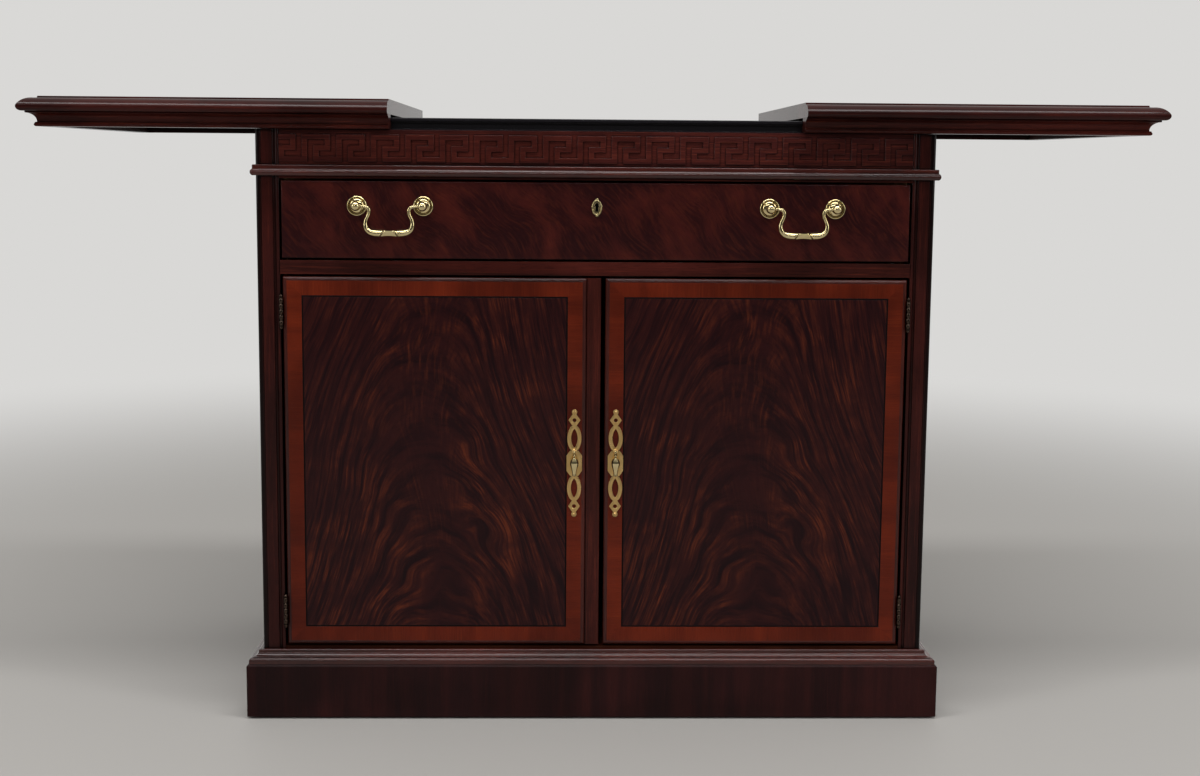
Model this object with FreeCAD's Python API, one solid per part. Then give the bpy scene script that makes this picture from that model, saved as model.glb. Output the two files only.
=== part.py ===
import FreeCAD, Part
import math
import os

Vec = FreeCAD.Vector
os.makedirs("parts", exist_ok=True)

# A mahogany server whose two top leaves slide apart over a black serving top.
# Millimetres. The origin is on the floor under the middle of the open cabinet,
# +Z is up and the doors face -Y.

# The whole cabinet
body_width = 916.0
body_depth = 468.0
top_height = 850.0
leaf_overhang = 28.0
rear_overhang = 12.0
slide_travel = 278.0
closed_gap = 0.6
running_gap = 0.3
cut_over = 2.0

# Top leaves
slab_thickness = 20.0
nosing_run = 22.0
leaf_moulding_height = 20.0
leaf_moulding_setback = 9.0
leaf_moulding_depth = 33.0
leaf_foot_gap = 0.5
back_rail_inset = 8.0
back_rail_thickness = 16.5

# Serving top, tracks and runners
serving_gap = 4.0
serving_lip = 4.0
lip_gap = 0.8
lip_reach = 3.0
lip_round = 1.2
track_width = 20.0
groove_depth = 6.0
groove_height = 5.0
stop_groove_height = 8.6
stop_block_length = 20.0

# Carcass
post_width = 31.0
post_depth = 34.0
corner_bead_radius = 4.0
quirk_width = 1.0
quirk_depth = 1.2
flute_width = 4.0
flute_depth = 2.4
inner_bead_width = 4.6
side_thickness = 19.0
tongue_thickness = 6.0
tongue_length = 8.0
back_thickness = 6.0
back_rebate = 6.0
floor_thickness = 19.0
floor_setback = 1.5
sub_top_thickness = 19.0

# Plinth, base moulding and feet
plinth_height = 73.5
plinth_projection = 20.0
plinth_bevel = 2.0
plinth_back_thickness = 19.0
base_moulding_height = 18.0
base_moulding_projection = 17.0
corner_block_size = 40.0
glide_height = 3.0
glide_radius = 9.0
glide_inset = 16.0
floor_reveal = 2.8

# Frieze, waist moulding and rails
frieze_height = 47.5
frieze_thickness = 19.0
fret_thickness = 1.8
fret_height = 37.3
fret_rise = 4.0
fret_end_gap = 0.4
waist_rail_height = 17.9
waist_moulding_height = 14.5
waist_projection = 6.2
rail_thickness = 20.0
drawer_rail_height = 18.8
drawer_rail_depth = 60.0
dust_thickness = 5.0
dust_tongue = 6.0

# Drawer
drawer_height = 104.0
drawer_gap = 3.0
drawer_proud = 1.0
drawer_front_thickness = 20.0
drawer_side_thickness = 12.0
drawer_side_height = 90.0
drawer_back_space = 43.0
drawer_bottom_thickness = 5.0
drawer_bottom_rise = 12.0
drawer_groove_depth = 6.0
drawer_edge_round = 1.5
tail_length = 12.0
tail_count = 4
tail_slope_share = 0.16
runner_width = 28.0
runner_guide_rise = 14.0
drawer_stop_length = 22.0
kicker_height = 16.0

# Drawer lock and keyhole plate
lock_width = 60.0
lock_height = 45.0
lock_depth = 11.0
bolt_width = 20.0
bolt_thickness = 4.0
bolt_height = 26.0
bolt_throw = 6.0
key_hole_radius = 3.0
key_hole_rise = 2.8
key_slot_width = 2.8
key_slot_foot_width = 4.6
key_slot_length = 8.4
escutcheon_height = 25.5
escutcheon_width = 14.0
escutcheon_thickness = 1.6
escutcheon_pin_radius = 1.1
hardware_height_share = 0.68

# Bail pulls on the drawer
pull_spacing = 89.0
pull_offset_share = 0.656
rosette_radius = 13.6
rosette_thickness = 3.9
post_reach = 15.0
post_neck_radius = 4.6
post_ball_radius = 6.6
post_shank_radius = 2.0
nut_radius = 5.0
nut_thickness = 4.0
bail_wire_radius = 2.4
bail_pin_radius = 1.7
bail_pin_gap = 0.08
bail_pin_depth = 4.4
bail_drop = 35.6
bail_half_width = 31.5
bail_neck_half_width = 27.0
bail_swell_radius = 3.7

# Doors
door_thickness = 20.0
door_proud = 1.5
door_gap = 3.0
door_side_gap = 3.0
door_edge_width = 5.6
door_edge_radius = 4.6
skin_thickness = 0.9
crossband_width = 20.0
stringing_width = 2.0
centre_gap = 25.4
astragal_width = 19.5
astragal_setback = 2.5
astragal_round = 1.2

# Door hinges
hinge_leaf_height = 38.0
hinge_leaf_depth = 22.0
hinge_leaf_thickness = 1.3
hinge_inset = 48.0
barrel_radius = 2.7
hinge_pin_radius = 1.4
hinge_pin_gap = 0.06
knuckle_count = 5
knuckle_gap = 0.15
finial_collar = 1.0
finial_radius = 2.1

# Door pull plates and drops
plate_half_height = 75.0
plate_half_width = 10.6
plate_thickness = 1.6
plate_centre_share = 0.502
plate_pin_radius = 1.5
drop_stud_radius = 1.7
drop_ball_radius = 3.1
drop_reach = 8.0
drop_slot_width = 2.2
drop_tab_thickness = 1.6
drop_tab_radius = 2.2
drop_pivot_radius = 0.7
drop_pivot_gap = 0.07
drop_length = 34.0
drop_radius = 5.8

# Catches
catch_length = 45.0
catch_width = 14.0
catch_height = 15.0
catch_offset = 42.0
strike_length = 38.0
strike_height = 11.0
strike_thickness = 1.2
strike_gap = 0.4

# Shelf
shelf_thickness = 19.0
shelf_setback = 60.0
shelf_end_gap = 1.5
shelf_height_share = 0.5
shelf_pin_radius = 3.0
shelf_pin_length = 14.0
shelf_pin_depth = 9.0
shelf_pin_setback = 50.0
pin_hole_pitch = 32.0
pin_hole_count = 5

# Moulding outlines. Each point is a share of the depth in from the outermost
# line and a share of the height from the foot. A pair of points is an arc.
base_moulding_shares = [
    (1.0, 0.0), (0.0, 0.0), (0.0, 0.3), ((0.07, 0.42), (0.24, 0.47)), (0.28, 0.47), (0.28, 0.51),
    ((0.56, 0.6), (0.68, 0.8)), (0.68, 0.9), ((0.71, 0.97), (0.79, 1.0)), (1.0, 1.0)]
waist_moulding_shares = [
    (1.0, 0.0), (0.42, 0.0), ((0.0, 0.31), (0.42, 0.62)), (0.42, 0.9), ((0.46, 0.97), (0.55, 1.0)),
    (1.0, 1.0)]
leaf_moulding_shares = [
    (1.0, 0.0), (0.32, 0.0), ((0.26, 0.1), (0.29, 0.22)), (0.29, 0.27), (0.36, 0.3),
    ((0.25, 0.73), (0.02, 0.88)), (0.0, 0.9), (0.0, 1.0), (1.0, 1.0)]
# The slab's moulded edge, from the underside round the nose to the top: shares
# of the nosing run in from the tip and of the slab's thickness from below.
nosing_shares = [
    (0.3, 0.0), ((0.06, 0.1), (0.0, 0.36)), ((0.36, 0.77), (0.9, 0.87)), (0.97, 0.88), (1.0, 1.0)]

# The key pattern: one column and one row are as wide as the raised band. It holds
# column_count columns, repeats every unit_count columns and starts at first_count.
fret_column_count = 111
fret_row_count = 5
fret_unit_count = 6
fret_first_count = 2
fret_unit_shares = [(0.5, 0.5), (0.5, 4.5), (4.5, 4.5), (4.5, 2.5), (2.5, 2.5), (2.5, 0.5)]

# Levels and planes that follow
half_width = body_width / 2
half_inside = half_width - side_thickness
half_opening = half_width - post_width
leaf_height = slab_thickness + leaf_moulding_height
leaf_depth = body_depth + leaf_overhang + rear_overhang
front = leaf_overhang - leaf_depth / 2
back = front + body_depth
leaf_tip = front - leaf_overhang
leaf_back = back + rear_overhang
post_back = front + post_depth
inside_back = back - back_thickness
slab_bottom = top_height - slab_thickness
leaf_foot = top_height - leaf_height
carcass_top = leaf_foot - leaf_foot_gap
serving_level = slab_bottom - serving_gap
track_top = serving_level - serving_lip
plinth_top = glide_height + plinth_height
base_moulding_top = plinth_top + base_moulding_height
floor_top = base_moulding_top + floor_reveal
floor_bottom = floor_top - floor_thickness
waist_top = carcass_top - frieze_height
waist_rail_bottom = waist_top - waist_rail_height
drawer_top = waist_rail_bottom - drawer_gap
drawer_bottom_level = drawer_top - drawer_height
drawer_rail_top = drawer_bottom_level - drawer_gap
drawer_rail_bottom = drawer_rail_top - drawer_rail_height
door_top = drawer_rail_bottom - door_gap
door_bottom = floor_top + door_gap
door_height = door_top - door_bottom
door_face = front - door_proud
door_back = door_face + door_thickness
drawer_face = front - drawer_proud
drawer_front_back = drawer_face + drawer_front_thickness
drawer_side_end = inside_back - drawer_back_space
drawer_side_top = drawer_bottom_level + drawer_side_height
half_drawer = half_opening - door_side_gap
hardware_level = drawer_bottom_level + drawer_height * hardware_height_share
runner_top = drawer_bottom_level - running_gap
leaf_inner = slide_travel + closed_gap / 2
leaf_corner = half_width + slide_travel
leaf_outer = leaf_corner + leaf_overhang
moulding_in = leaf_moulding_setback + leaf_moulding_depth - leaf_overhang
front_moulding_back = front + moulding_in
back_rail_front = leaf_back - back_rail_inset - back_rail_thickness
serving_half = half_width - moulding_in - leaf_foot_gap
serving_front = front_moulding_back + lip_gap
serving_back = back_rail_front - lip_gap
track_front = serving_front + lip_reach
track_back = serving_back - lip_reach
track_middle = (carcass_top + track_top) / 2
door_outer = half_opening - door_side_gap
door_inner = centre_gap / 2
hinge_axis_x = half_opening - door_side_gap / 2
hinge_axis_y = door_face - barrel_radius - running_gap
hinge_levels = [door_bottom + hinge_inset, door_top - hinge_inset]


# Small helpers

def box(x0, x1, y0, y1, z0, z1):
    """A box between two corners."""
    return Part.makeBox(x1 - x0, y1 - y0, z1 - z0, Vec(x0, y0, z0))


def rod(radius, start, end):
    """A round rod between two points."""
    along = end.sub(start)
    return Part.makeCylinder(radius, along.Length, start, along)


def outline(steps, at):
    """A closed face. A step is a point, or a pair of points for an arc through the first to the second."""
    here = at(*steps[0])
    edges = []
    for step in steps[1:] + steps[:1]:
        if isinstance(step[0], tuple):
            through = at(*step[0])
            end = at(*step[1])
            edges.append(Part.Arc(here, through, end).toShape())
        else:
            end = at(*step)
            edges.append(Part.LineSegment(here, end).toShape())
        here = end
    return Part.Face(Part.Wire(edges))


def turned(steps, centre, axis, across):
    """A turned solid. Each step is a radius and a distance along the axis."""
    def at(radius, along):
        return centre + across * radius + axis * along
    return outline(steps, at).revolve(centre, axis, 360)


def fused(shapes):
    """One solid from shapes that overlap."""
    return shapes[0].multiFuse(shapes[1:]).removeSplitter()


def group(shapes):
    """Separate solids in one node."""
    return Part.makeCompound(shapes)


def mirrored(shape):
    """The same piece on the other side of the middle."""
    return shape.mirror(Vec(0, 0, 0), Vec(1, 0, 0))


def both_sides(shape):
    return [shape, mirrored(shape)]


def placed(shape, turn, x, y, z):
    """The shape turned about Z, then moved."""
    copy = shape.copy()
    copy.rotate(Vec(0, 0, 0), Vec(0, 0, 1), turn)
    copy.translate(Vec(x, y, z))
    return copy


def moulding(shares, reach, depth, height, length, mitre_start, mitre_end):
    """A moulding along +X from x = 0. It stands out to y = -reach, and a mitred end
    runs to 45 degrees through the corner of the piece that it is fixed to."""
    def at(inward, up):
        return Vec(-reach, inward * depth - reach, up * height)
    run = outline(shares, at).extrude(Vec(length + 2 * reach, 0, 0))
    inner = depth - reach
    corners = [
        (-reach if mitre_start else 0, -reach), (inner if mitre_start else 0, inner),
        (length - inner if mitre_end else length, inner),
        (length + reach if mitre_end else length, -reach)]
    plan = outline(corners, lambda x, y: Vec(x, y, 0)).extrude(Vec(0, 0, height))
    return run.common(plan)


def three_sides(shares, reach, height, level):
    """A moulding round the front and both sides of the body."""
    front_run = moulding(shares, reach, reach, height, body_width, True, True)
    side_run = moulding(shares, reach, reach, height, body_depth, True, False)
    right = placed(side_run, 90, half_width, front, level)
    return [placed(front_run, 0, -half_width, front, level), right, mirrored(right)]


# Plinth and feet

def plinth_boards():
    bevel = plinth_bevel / plinth_projection
    rise = 1 - plinth_bevel / plinth_height
    shares = [(1.0, 0.0), (0.0, 0.0), (0.0, rise), (bevel, 1.0), (1.0, 1.0)]
    boards = three_sides(shares, plinth_projection, plinth_height, glide_height)
    rear = box(-half_inside, half_inside, back - plinth_back_thickness, back, glide_height, floor_bottom)
    return group(boards + [rear])


def base_mouldings():
    lengths = three_sides(base_moulding_shares, base_moulding_projection, base_moulding_height, plinth_top)
    return group(lengths)


def corner_blocks():
    inner = half_inside - corner_block_size
    blocks = []
    for y0 in (post_back, back - plinth_back_thickness - corner_block_size):
        block = box(inner, half_inside, y0, y0 + corner_block_size, glide_height, floor_bottom)
        blocks += both_sides(block)
    return group(blocks)


def floor_glides():
    """Domed glides under the corners of the plinth."""
    flat = glide_radius / 2
    steps = [(0, 0), (flat, 0), ((glide_radius * 0.84, glide_height * 0.4), (glide_radius, glide_height)),
             (0, glide_height)]
    glides = []
    for y in (front - plinth_projection + glide_inset, back - glide_inset):
        centre = Vec(half_width + plinth_projection - glide_inset, y, 0)
        glides += both_sides(turned(steps, centre, Vec(0, 0, 1), Vec(1, 0, 0)))
    return group(glides)


# Carcass

def post_outline():
    """The right front post in plan: corner bead with quirks, flat, flute and thin inner bead."""
    r = corner_bead_radius
    turn = math.sqrt(r * r - (r - quirk_depth) ** 2)
    corner = r - r * math.sqrt(0.5)
    flat = r + turn + quirk_width
    bead = post_width - inner_bead_width
    flute = bead - flute_width
    sink = quirk_depth
    steps = [
        (0, post_depth), (0, flat), (quirk_depth, flat), (quirk_depth, r + turn),
        ((corner, corner), (r + turn, quirk_depth)), (flat, quirk_depth), (flat, 0), (flute, 0),
        ((flute + flute_width / 2, flute_depth), (bead, sink)),
        ((bead + inner_bead_width / 2, 0), (post_width, sink)), (post_width, post_depth)]
    return outline(steps, lambda u, v: Vec(half_width - u, front + v, glide_height))


def tongue(x_grow, length):
    """The tongue on the front edge of a side panel, or its groove where it is grown."""
    middle = half_width - side_thickness / 2
    half = tongue_thickness / 2 + x_grow
    return box(middle - half, middle + half, post_back - length, post_back, glide_height, carcass_top)


def front_posts():
    post = post_outline().extrude(Vec(0, 0, carcass_top - glide_height))
    return group(both_sides(post.cut(tongue(0, tongue_length))))


def shelf_level():
    return floor_top + (drawer_rail_bottom - floor_top) * shelf_height_share


def shelf_pin_places():
    return [front + shelf_setback + shelf_pin_setback, inside_back - shelf_pin_setback]


def side_panels():
    panel = box(half_inside, half_width, post_back, back, glide_height, carcass_top)
    panel = panel.fuse(tongue(0, tongue_length)).removeSplitter()
    rebate = box(half_inside - cut_over, half_inside + back_rebate, inside_back, back + cut_over,
                 floor_bottom, carcass_top + cut_over)
    cuts = [rebate]
    first = shelf_level() - shelf_thickness / 2 - shelf_pin_radius
    for y in shelf_pin_places():
        for i in range(pin_hole_count):
            z = first + (i - (pin_hole_count - 1) / 2) * pin_hole_pitch
            start = Vec(half_inside - cut_over, y, z)
            cuts.append(rod(shelf_pin_radius, start, start + Vec(cut_over + shelf_pin_depth, 0, 0)))
    return group(both_sides(panel.cut(Part.makeCompound(cuts))))


def back_panel():
    half = half_inside + back_rebate
    return box(-half, half, inside_back, back, floor_bottom, carcass_top)


def cabinet_floor():
    main = box(-half_inside, half_inside, post_back, inside_back, floor_bottom, floor_top)
    lip = box(-half_opening, half_opening, front + floor_setback, post_back, floor_bottom, floor_top)
    return fused([main, lip])


def sub_top():
    y0 = front + fret_thickness + frieze_thickness
    z0 = carcass_top - sub_top_thickness
    main = box(-half_inside, half_inside, post_back, inside_back, z0, carcass_top)
    lip = box(-half_opening, half_opening, y0, post_back, z0, carcass_top)
    return fused([main, lip])


def frieze_board():
    y0 = front + fret_thickness
    return box(-half_opening, half_opening, y0, y0 + frieze_thickness, waist_top, carcass_top)


def fret_path():
    """The middle line of the raised band in columns and rows, cut where the frieze starts and ends."""
    first = fret_first_count
    last = first + fret_column_count
    points = [(unit * fret_unit_count + c, r)
              for unit in range(last // fret_unit_count + 1) for c, r in fret_unit_shares]
    inside = [(c, r) for c, r in points if first < c < last]
    return [(first, inside[0][1])] + inside + [(last, inside[-1][1])]


def square_step(a, b):
    """The unit step from one point of a square path to the next."""
    reach = abs(b[0] - a[0]) + abs(b[1] - a[1])
    return (b[0] - a[0]) / reach, (b[1] - a[1]) / reach


def band_sides(path):
    """The two edges of a band of width 1 along a path with square corners."""
    steps = [square_step(a, b) for a, b in zip(path, path[1:])]
    left = []
    right = []
    for (c, r), before, after in zip(path, steps[:1] + steps, steps + steps[-1:]):
        share = 1 / (1 + abs(before[0] * after[0] + before[1] * after[1])) / 2
        dc = (before[1] + after[1]) * share
        dr = (before[0] + after[0]) * share
        left.append((c - dc, r + dr))
        right.append((c + dc, r - dr))
    return left, right


def frieze_fret():
    """The raised key pattern, one band that runs from end to end of the frieze."""
    left, right = band_sides(fret_path())
    column = 2 * (half_opening - fret_end_gap) / fret_column_count
    row = fret_height / fret_row_count
    x0 = fret_end_gap - half_opening - fret_first_count * column
    z0 = waist_top + fret_rise
    face = outline(left + right[::-1], lambda c, r: Vec(x0 + c * column, front, z0 + r * row))
    return face.extrude(Vec(0, fret_thickness, 0))


def waist_mouldings():
    level = waist_top - waist_moulding_height
    return group(three_sides(waist_moulding_shares, waist_projection, waist_moulding_height, level))


def bolt_mortise():
    """Where the drawer's bolt goes into the rail above it."""
    x = bolt_width / 2 + running_gap
    y0, y1 = bolt_span()
    return box(-x, x, y0 - running_gap, y1 + running_gap, waist_rail_bottom - cut_over,
               drawer_top + bolt_throw + cut_over)


def waist_rail():
    rail = box(-half_opening, half_opening, front, front + rail_thickness, waist_rail_bottom, waist_top)
    return rail.cut(bolt_mortise())


def dust_slab():
    """The dust panel's full size, with the tongues that go into rail and runners."""
    half = half_inside - runner_width + dust_tongue
    z0 = (drawer_rail_bottom + drawer_rail_top - dust_thickness) / 2
    return box(-half, half, front + drawer_rail_depth - dust_tongue, inside_back, z0, z0 + dust_thickness)


def drawer_rail():
    y1 = front + drawer_rail_depth
    rail = box(-half_opening, half_opening, front, y1, drawer_rail_bottom, drawer_rail_top)
    return rail.cut(dust_slab())


def drawer_runners():
    """L-shaped runners, which carry and guide the drawer's sides, with a stop block behind each side."""
    y0 = front + drawer_rail_depth
    low = box(half_inside - runner_width, half_inside, y0, inside_back, drawer_rail_bottom, runner_top)
    guide_x = half_drawer + running_gap
    high = box(guide_x, half_inside, y0, inside_back, drawer_rail_bottom, runner_top + runner_guide_rise)
    stop_start = drawer_side_end + running_gap
    stop = box(half_inside - runner_width, guide_x, stop_start, stop_start + drawer_stop_length,
               runner_top, runner_top + runner_guide_rise)
    return group(both_sides(fused([low, high]).cut(dust_slab())) + both_sides(stop))


def drawer_kickers():
    z0 = drawer_side_top + running_gap + running_gap
    kicker = box(half_inside - runner_width, half_inside, post_back, inside_back, z0, z0 + kicker_height)
    return group(both_sides(kicker))


# Serving top and the tracks of the leaves

def serving_top():
    """A black panel whose front and back edges lip over the tracks."""
    lip = box(-serving_half, serving_half, serving_front, serving_back, track_top, serving_level)
    edges = [e for e in lip.Edges if is_along_x(e) and e.BoundBox.ZMin > track_top + serving_lip / 2]
    lip = lip.makeFillet(lip_round, edges)
    core = box(-serving_half, serving_half, track_front + track_width, track_back - track_width,
               carcass_top, track_top)
    return fused([lip, core])


def is_along_x(edge):
    return edge.BoundBox.XLength > edge.BoundBox.YLength + edge.BoundBox.ZLength


def groove(y0, y1):
    """The groove of a track: narrow to the ends, higher in the middle where the stop blocks run."""
    low = groove_height / 2
    high = stop_groove_height / 2
    ends = serving_half + cut_over
    reach = leaf_inner + stop_block_length + running_gap
    narrow = box(-ends, ends, y0, y1, track_middle - low, track_middle + low)
    return narrow.fuse(box(-reach, reach, y0, y1, track_middle - high, track_middle + high))


def slide_tracks():
    half = serving_half
    front_bar = box(-half, half, track_front, track_front + track_width, carcass_top, track_top)
    back_bar = box(-half, half, track_back - track_width, track_back, carcass_top, track_top)
    return group([front_bar.cut(groove(track_front - cut_over, track_front + groove_depth)),
                  back_bar.cut(groove(track_back - groove_depth, track_back + cut_over))])


# Leaves. Each function makes the right leaf where it stands open.

def leaf_slab():
    """A slab moulded along its front and its outer end."""
    front_steps = [(leaf_back, 0)] + nosing_steps(leaf_tip, 1) + [(leaf_back, 1)]
    end_steps = [(leaf_inner, 0)] + nosing_steps(leaf_outer, -1) + [(leaf_inner, 1)]
    long_way = outline(front_steps, lambda y, up: Vec(leaf_inner, y, slab_bottom + up * slab_thickness))
    short_way = outline(end_steps, lambda x, up: Vec(x, leaf_tip, slab_bottom + up * slab_thickness))
    across = long_way.extrude(Vec(leaf_outer - leaf_inner, 0, 0))
    return across.common(short_way.extrude(Vec(0, leaf_depth, 0)))


def nosing_steps(tip, sign):
    """The nosing's points as places across the slab and shares of its thickness."""
    def place(inward, up):
        return tip + sign * inward * nosing_run, up
    return [tuple(place(*p) for p in step) if isinstance(step[0], tuple) else place(*step)
            for step in nosing_shares]


def leaf_mouldings():
    reach = leaf_overhang - leaf_moulding_setback
    sizes = (leaf_moulding_shares, reach, leaf_moulding_depth, leaf_moulding_height)
    front_run = moulding(*sizes, leaf_corner - leaf_inner, False, True)
    end_run = moulding(*sizes, leaf_back - front, True, False)
    return group([placed(front_run, 0, leaf_inner, front, leaf_foot),
                  placed(end_run, 90, leaf_corner, front, leaf_foot)])


def leaf_end_inside():
    return leaf_corner - moulding_in


def leaf_back_rail():
    return box(leaf_inner, leaf_end_inside(), back_rail_front, back_rail_front + back_rail_thickness,
               leaf_foot, slab_bottom)


def leaf_runners():
    """Tongues on the inside of the moulding and of the back rail, each with a stop block."""
    low = groove_height / 2 - running_gap
    high = stop_groove_height / 2 - running_gap
    tongues = []
    for y0, y1 in ((front_moulding_back, track_front + groove_depth - running_gap),
                   (track_back - groove_depth + running_gap, back_rail_front)):
        bar = box(leaf_inner, leaf_end_inside(), y0, y1, track_middle - low, track_middle + low)
        block = box(leaf_inner, leaf_inner + stop_block_length, y0, y1,
                    track_middle - high, track_middle + high)
        tongues.append(fused([bar, block]))
    return group(tongues)


# Drawer

def dovetail_sockets():
    """The gaps between the tails of the right side, which widen away from the drawer front."""
    pitch = drawer_side_height / tail_count
    y_tip = drawer_front_back - tail_length
    narrow = pitch * tail_slope_share
    wide = narrow * 2
    x0 = half_drawer - drawer_side_thickness
    sockets = []
    for i in range(tail_count + 1):
        z = drawer_bottom_level + i * pitch
        corners = [(y_tip, z - narrow), (drawer_front_back, z - wide),
                   (drawer_front_back, z + wide), (y_tip, z + narrow)]
        face = outline(corners, lambda y, z: Vec(x0, y, z))
        sockets.append(face.extrude(Vec(drawer_side_thickness, 0, 0)))
    return Part.makeCompound(sockets)


def drawer_bottom_slab():
    z0 = drawer_bottom_level + drawer_bottom_rise
    half = half_drawer - drawer_side_thickness + drawer_groove_depth
    return box(-half, half, drawer_front_back - drawer_groove_depth, drawer_side_end, z0,
               z0 + drawer_bottom_thickness)


def drawer_side():
    blank = box(half_drawer - drawer_side_thickness, half_drawer, drawer_front_back - tail_length,
                drawer_side_end, drawer_bottom_level, drawer_side_top)
    return blank.cut(dovetail_sockets()).cut(drawer_bottom_slab())


def drawer_sides():
    return group(both_sides(drawer_side()))


def pull_places():
    return [sign * half_drawer * pull_offset_share for sign in (-1, 1)]


def pull_post_places():
    return [x + side * pull_spacing / 2 for x in pull_places() for side in (-1, 1)]


def keyhole(y0, y1):
    """A round hole with a slot under it that widens towards its foot."""
    level = hardware_level + key_hole_rise
    hole = rod(key_hole_radius, Vec(0, y0, level), Vec(0, y1, level))
    neck = key_slot_width / 2
    foot = key_slot_foot_width / 2
    corners = [(-neck, 0), (neck, 0), (foot, -key_slot_length), (-foot, -key_slot_length)]
    slot = outline(corners, lambda u, v: Vec(u, y0, level + v)).extrude(Vec(0, y1 - y0, 0))
    return hole.fuse(slot)


def drawer_front():
    blank = box(-half_drawer, half_drawer, drawer_face, drawer_front_back, drawer_bottom_level, drawer_top)
    edges = [e for e in blank.Edges if e.BoundBox.YMax < drawer_face + drawer_edge_round]
    blank = blank.makeFillet(drawer_edge_round, edges)
    cuts = both_sides(drawer_side())
    cuts += [drawer_bottom_slab(), lock_pocket(), keyhole(drawer_face - cut_over, drawer_front_back)]
    for x in pull_post_places():
        cuts.append(rod(post_shank_radius, Vec(x, drawer_face - cut_over, hardware_level),
                        Vec(x, drawer_front_back + cut_over, hardware_level)))
    for shape in cuts:
        blank = blank.cut(shape)
    return blank


def drawer_back():
    z0 = drawer_bottom_level + drawer_bottom_rise + drawer_bottom_thickness
    half = half_drawer - drawer_side_thickness
    return box(-half, half, drawer_side_end - drawer_side_thickness, drawer_side_end, z0, drawer_side_top)


def bolt_span():
    """Front and back of the lock bolt, in the middle of the lock's depth."""
    middle = drawer_front_back - lock_depth / 2
    return middle - bolt_thickness / 2, middle + bolt_thickness / 2


def lock_pocket():
    """The hole in the drawer front that the lock fills, open at the top edge."""
    return box(-lock_width / 2, lock_width / 2, drawer_front_back - lock_depth, drawer_front_back,
               drawer_top - lock_height, drawer_top)


def drawer_lock():
    case = lock_pocket()
    y0, y1 = bolt_span()
    x = bolt_width / 2 + running_gap
    room = box(-x, x, y0 - running_gap, y1 + running_gap, drawer_top - bolt_height - 2 * running_gap,
               drawer_top + cut_over)
    return case.cut(room).cut(keyhole(drawer_front_back - lock_depth, y0))


def lock_bolt():
    y0, y1 = bolt_span()
    z1 = drawer_top - running_gap
    return box(-bolt_width / 2, bolt_width / 2, y0, y1, z1 - bolt_height, z1)


def keyhole_escutcheon():
    """An upright oval plate with a round-headed pin at the top and at the foot."""
    centre = Vec(0, drawer_face, hardware_level)
    plate = oval_plate(centre, escutcheon_width / 2, escutcheon_height / 2, escutcheon_thickness)
    plate = plate.cut(keyhole(drawer_face - escutcheon_thickness - cut_over, drawer_face))
    reach = escutcheon_height / 2 - escutcheon_pin_radius * 1.5
    pins = [pin_head(centre + Vec(0, -escutcheon_thickness, side * reach), escutcheon_pin_radius)
            for side in (-1, 1)]
    return fused([plate] + pins)


def oval_plate(centre, half_x, half_z, thickness):
    """A flat oval standing out from a face towards -Y."""
    if half_z > half_x:
        ellipse = Part.Ellipse(centre + Vec(0, 0, half_z), centre + Vec(half_x, 0, 0), centre)
    else:
        ellipse = Part.Ellipse(centre + Vec(half_x, 0, 0), centre + Vec(0, 0, half_z), centre)
    return Part.Face(Part.Wire(ellipse.toShape())).extrude(Vec(0, -thickness, 0))


def pin_head(seat, radius):
    """A ball head half sunk into the plate that it holds."""
    return Part.makeSphere(radius, seat)


# Bail pulls

def pull_rosettes():
    """A domed disc with a raised rim behind each post."""
    r = rosette_radius
    t = rosette_thickness
    steps = [(0, 0), (r, 0), (r, t * 0.4), ((r * 0.97, t * 0.72), (r * 0.93, t * 0.8)),
             ((r * 0.88, t * 0.7), (r * 0.85, t * 0.45)), (r * 0.78, t * 0.42),
             ((r * 0.64, t * 0.9), (r * 0.4, t)), (0, t)]
    discs = []
    for x in pull_post_places():
        disc = turned(steps, Vec(x, drawer_face, hardware_level), Vec(0, -1, 0), Vec(1, 0, 0))
        discs.append(disc.cut(post_shank(x, 0)))
    return group(discs)


def post_shank(x, extra):
    start = Vec(x, drawer_face - rosette_thickness, hardware_level)
    end = Vec(x, drawer_front_back + nut_thickness + extra, hardware_level)
    return rod(post_shank_radius, start, end)


def bail_pin_room(x, inner):
    """The cross hole in a post. It opens on the side that faces the bail."""
    start = Vec(x - inner * bail_pin_depth, drawer_face - post_reach, hardware_level)
    end = start + Vec(inner * (bail_pin_depth + post_ball_radius + cut_over), 0, 0)
    return rod(bail_pin_radius + bail_pin_gap, start, end)


def pull_post(x, inner):
    """A waisted neck and a ball that stand on the rosette, with a shank through the drawer front."""
    seat = rosette_thickness
    reach = post_reach
    n = post_neck_radius
    steps = [(0, seat), (n * 1.25, seat), ((n * 0.82, reach * 0.36), (n, reach * 0.62)),
             (n * 1.2, reach * 0.66), (n * 1.2, reach * 0.74), (0, reach * 0.74)]
    neck = turned(steps, Vec(x, drawer_face, hardware_level), Vec(0, -1, 0), Vec(1, 0, 0))
    ball = Part.makeSphere(post_ball_radius, Vec(x, drawer_face - reach, hardware_level))
    return fused([neck, ball, post_shank(x, nut_thickness / 2)]).cut(bail_pin_room(x, inner))


def pull_nut(x):
    """A hexagon nut inside the drawer."""
    corners = [(math.cos(math.radians(a)), math.sin(math.radians(a))) for a in range(0, 360, 60)]
    centre = Vec(x, drawer_front_back, hardware_level)
    face = outline(corners, lambda u, v: centre + Vec(u, 0, v) * nut_radius)
    return face.extrude(Vec(0, nut_thickness, 0)).cut(post_shank(x, nut_thickness))


def pull_posts():
    pieces = []
    for centre in pull_places():
        for side in (-1, 1):
            x = centre + side * pull_spacing / 2
            pieces += [pull_post(x, -side), pull_nut(x)]
    return group(pieces)


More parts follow.
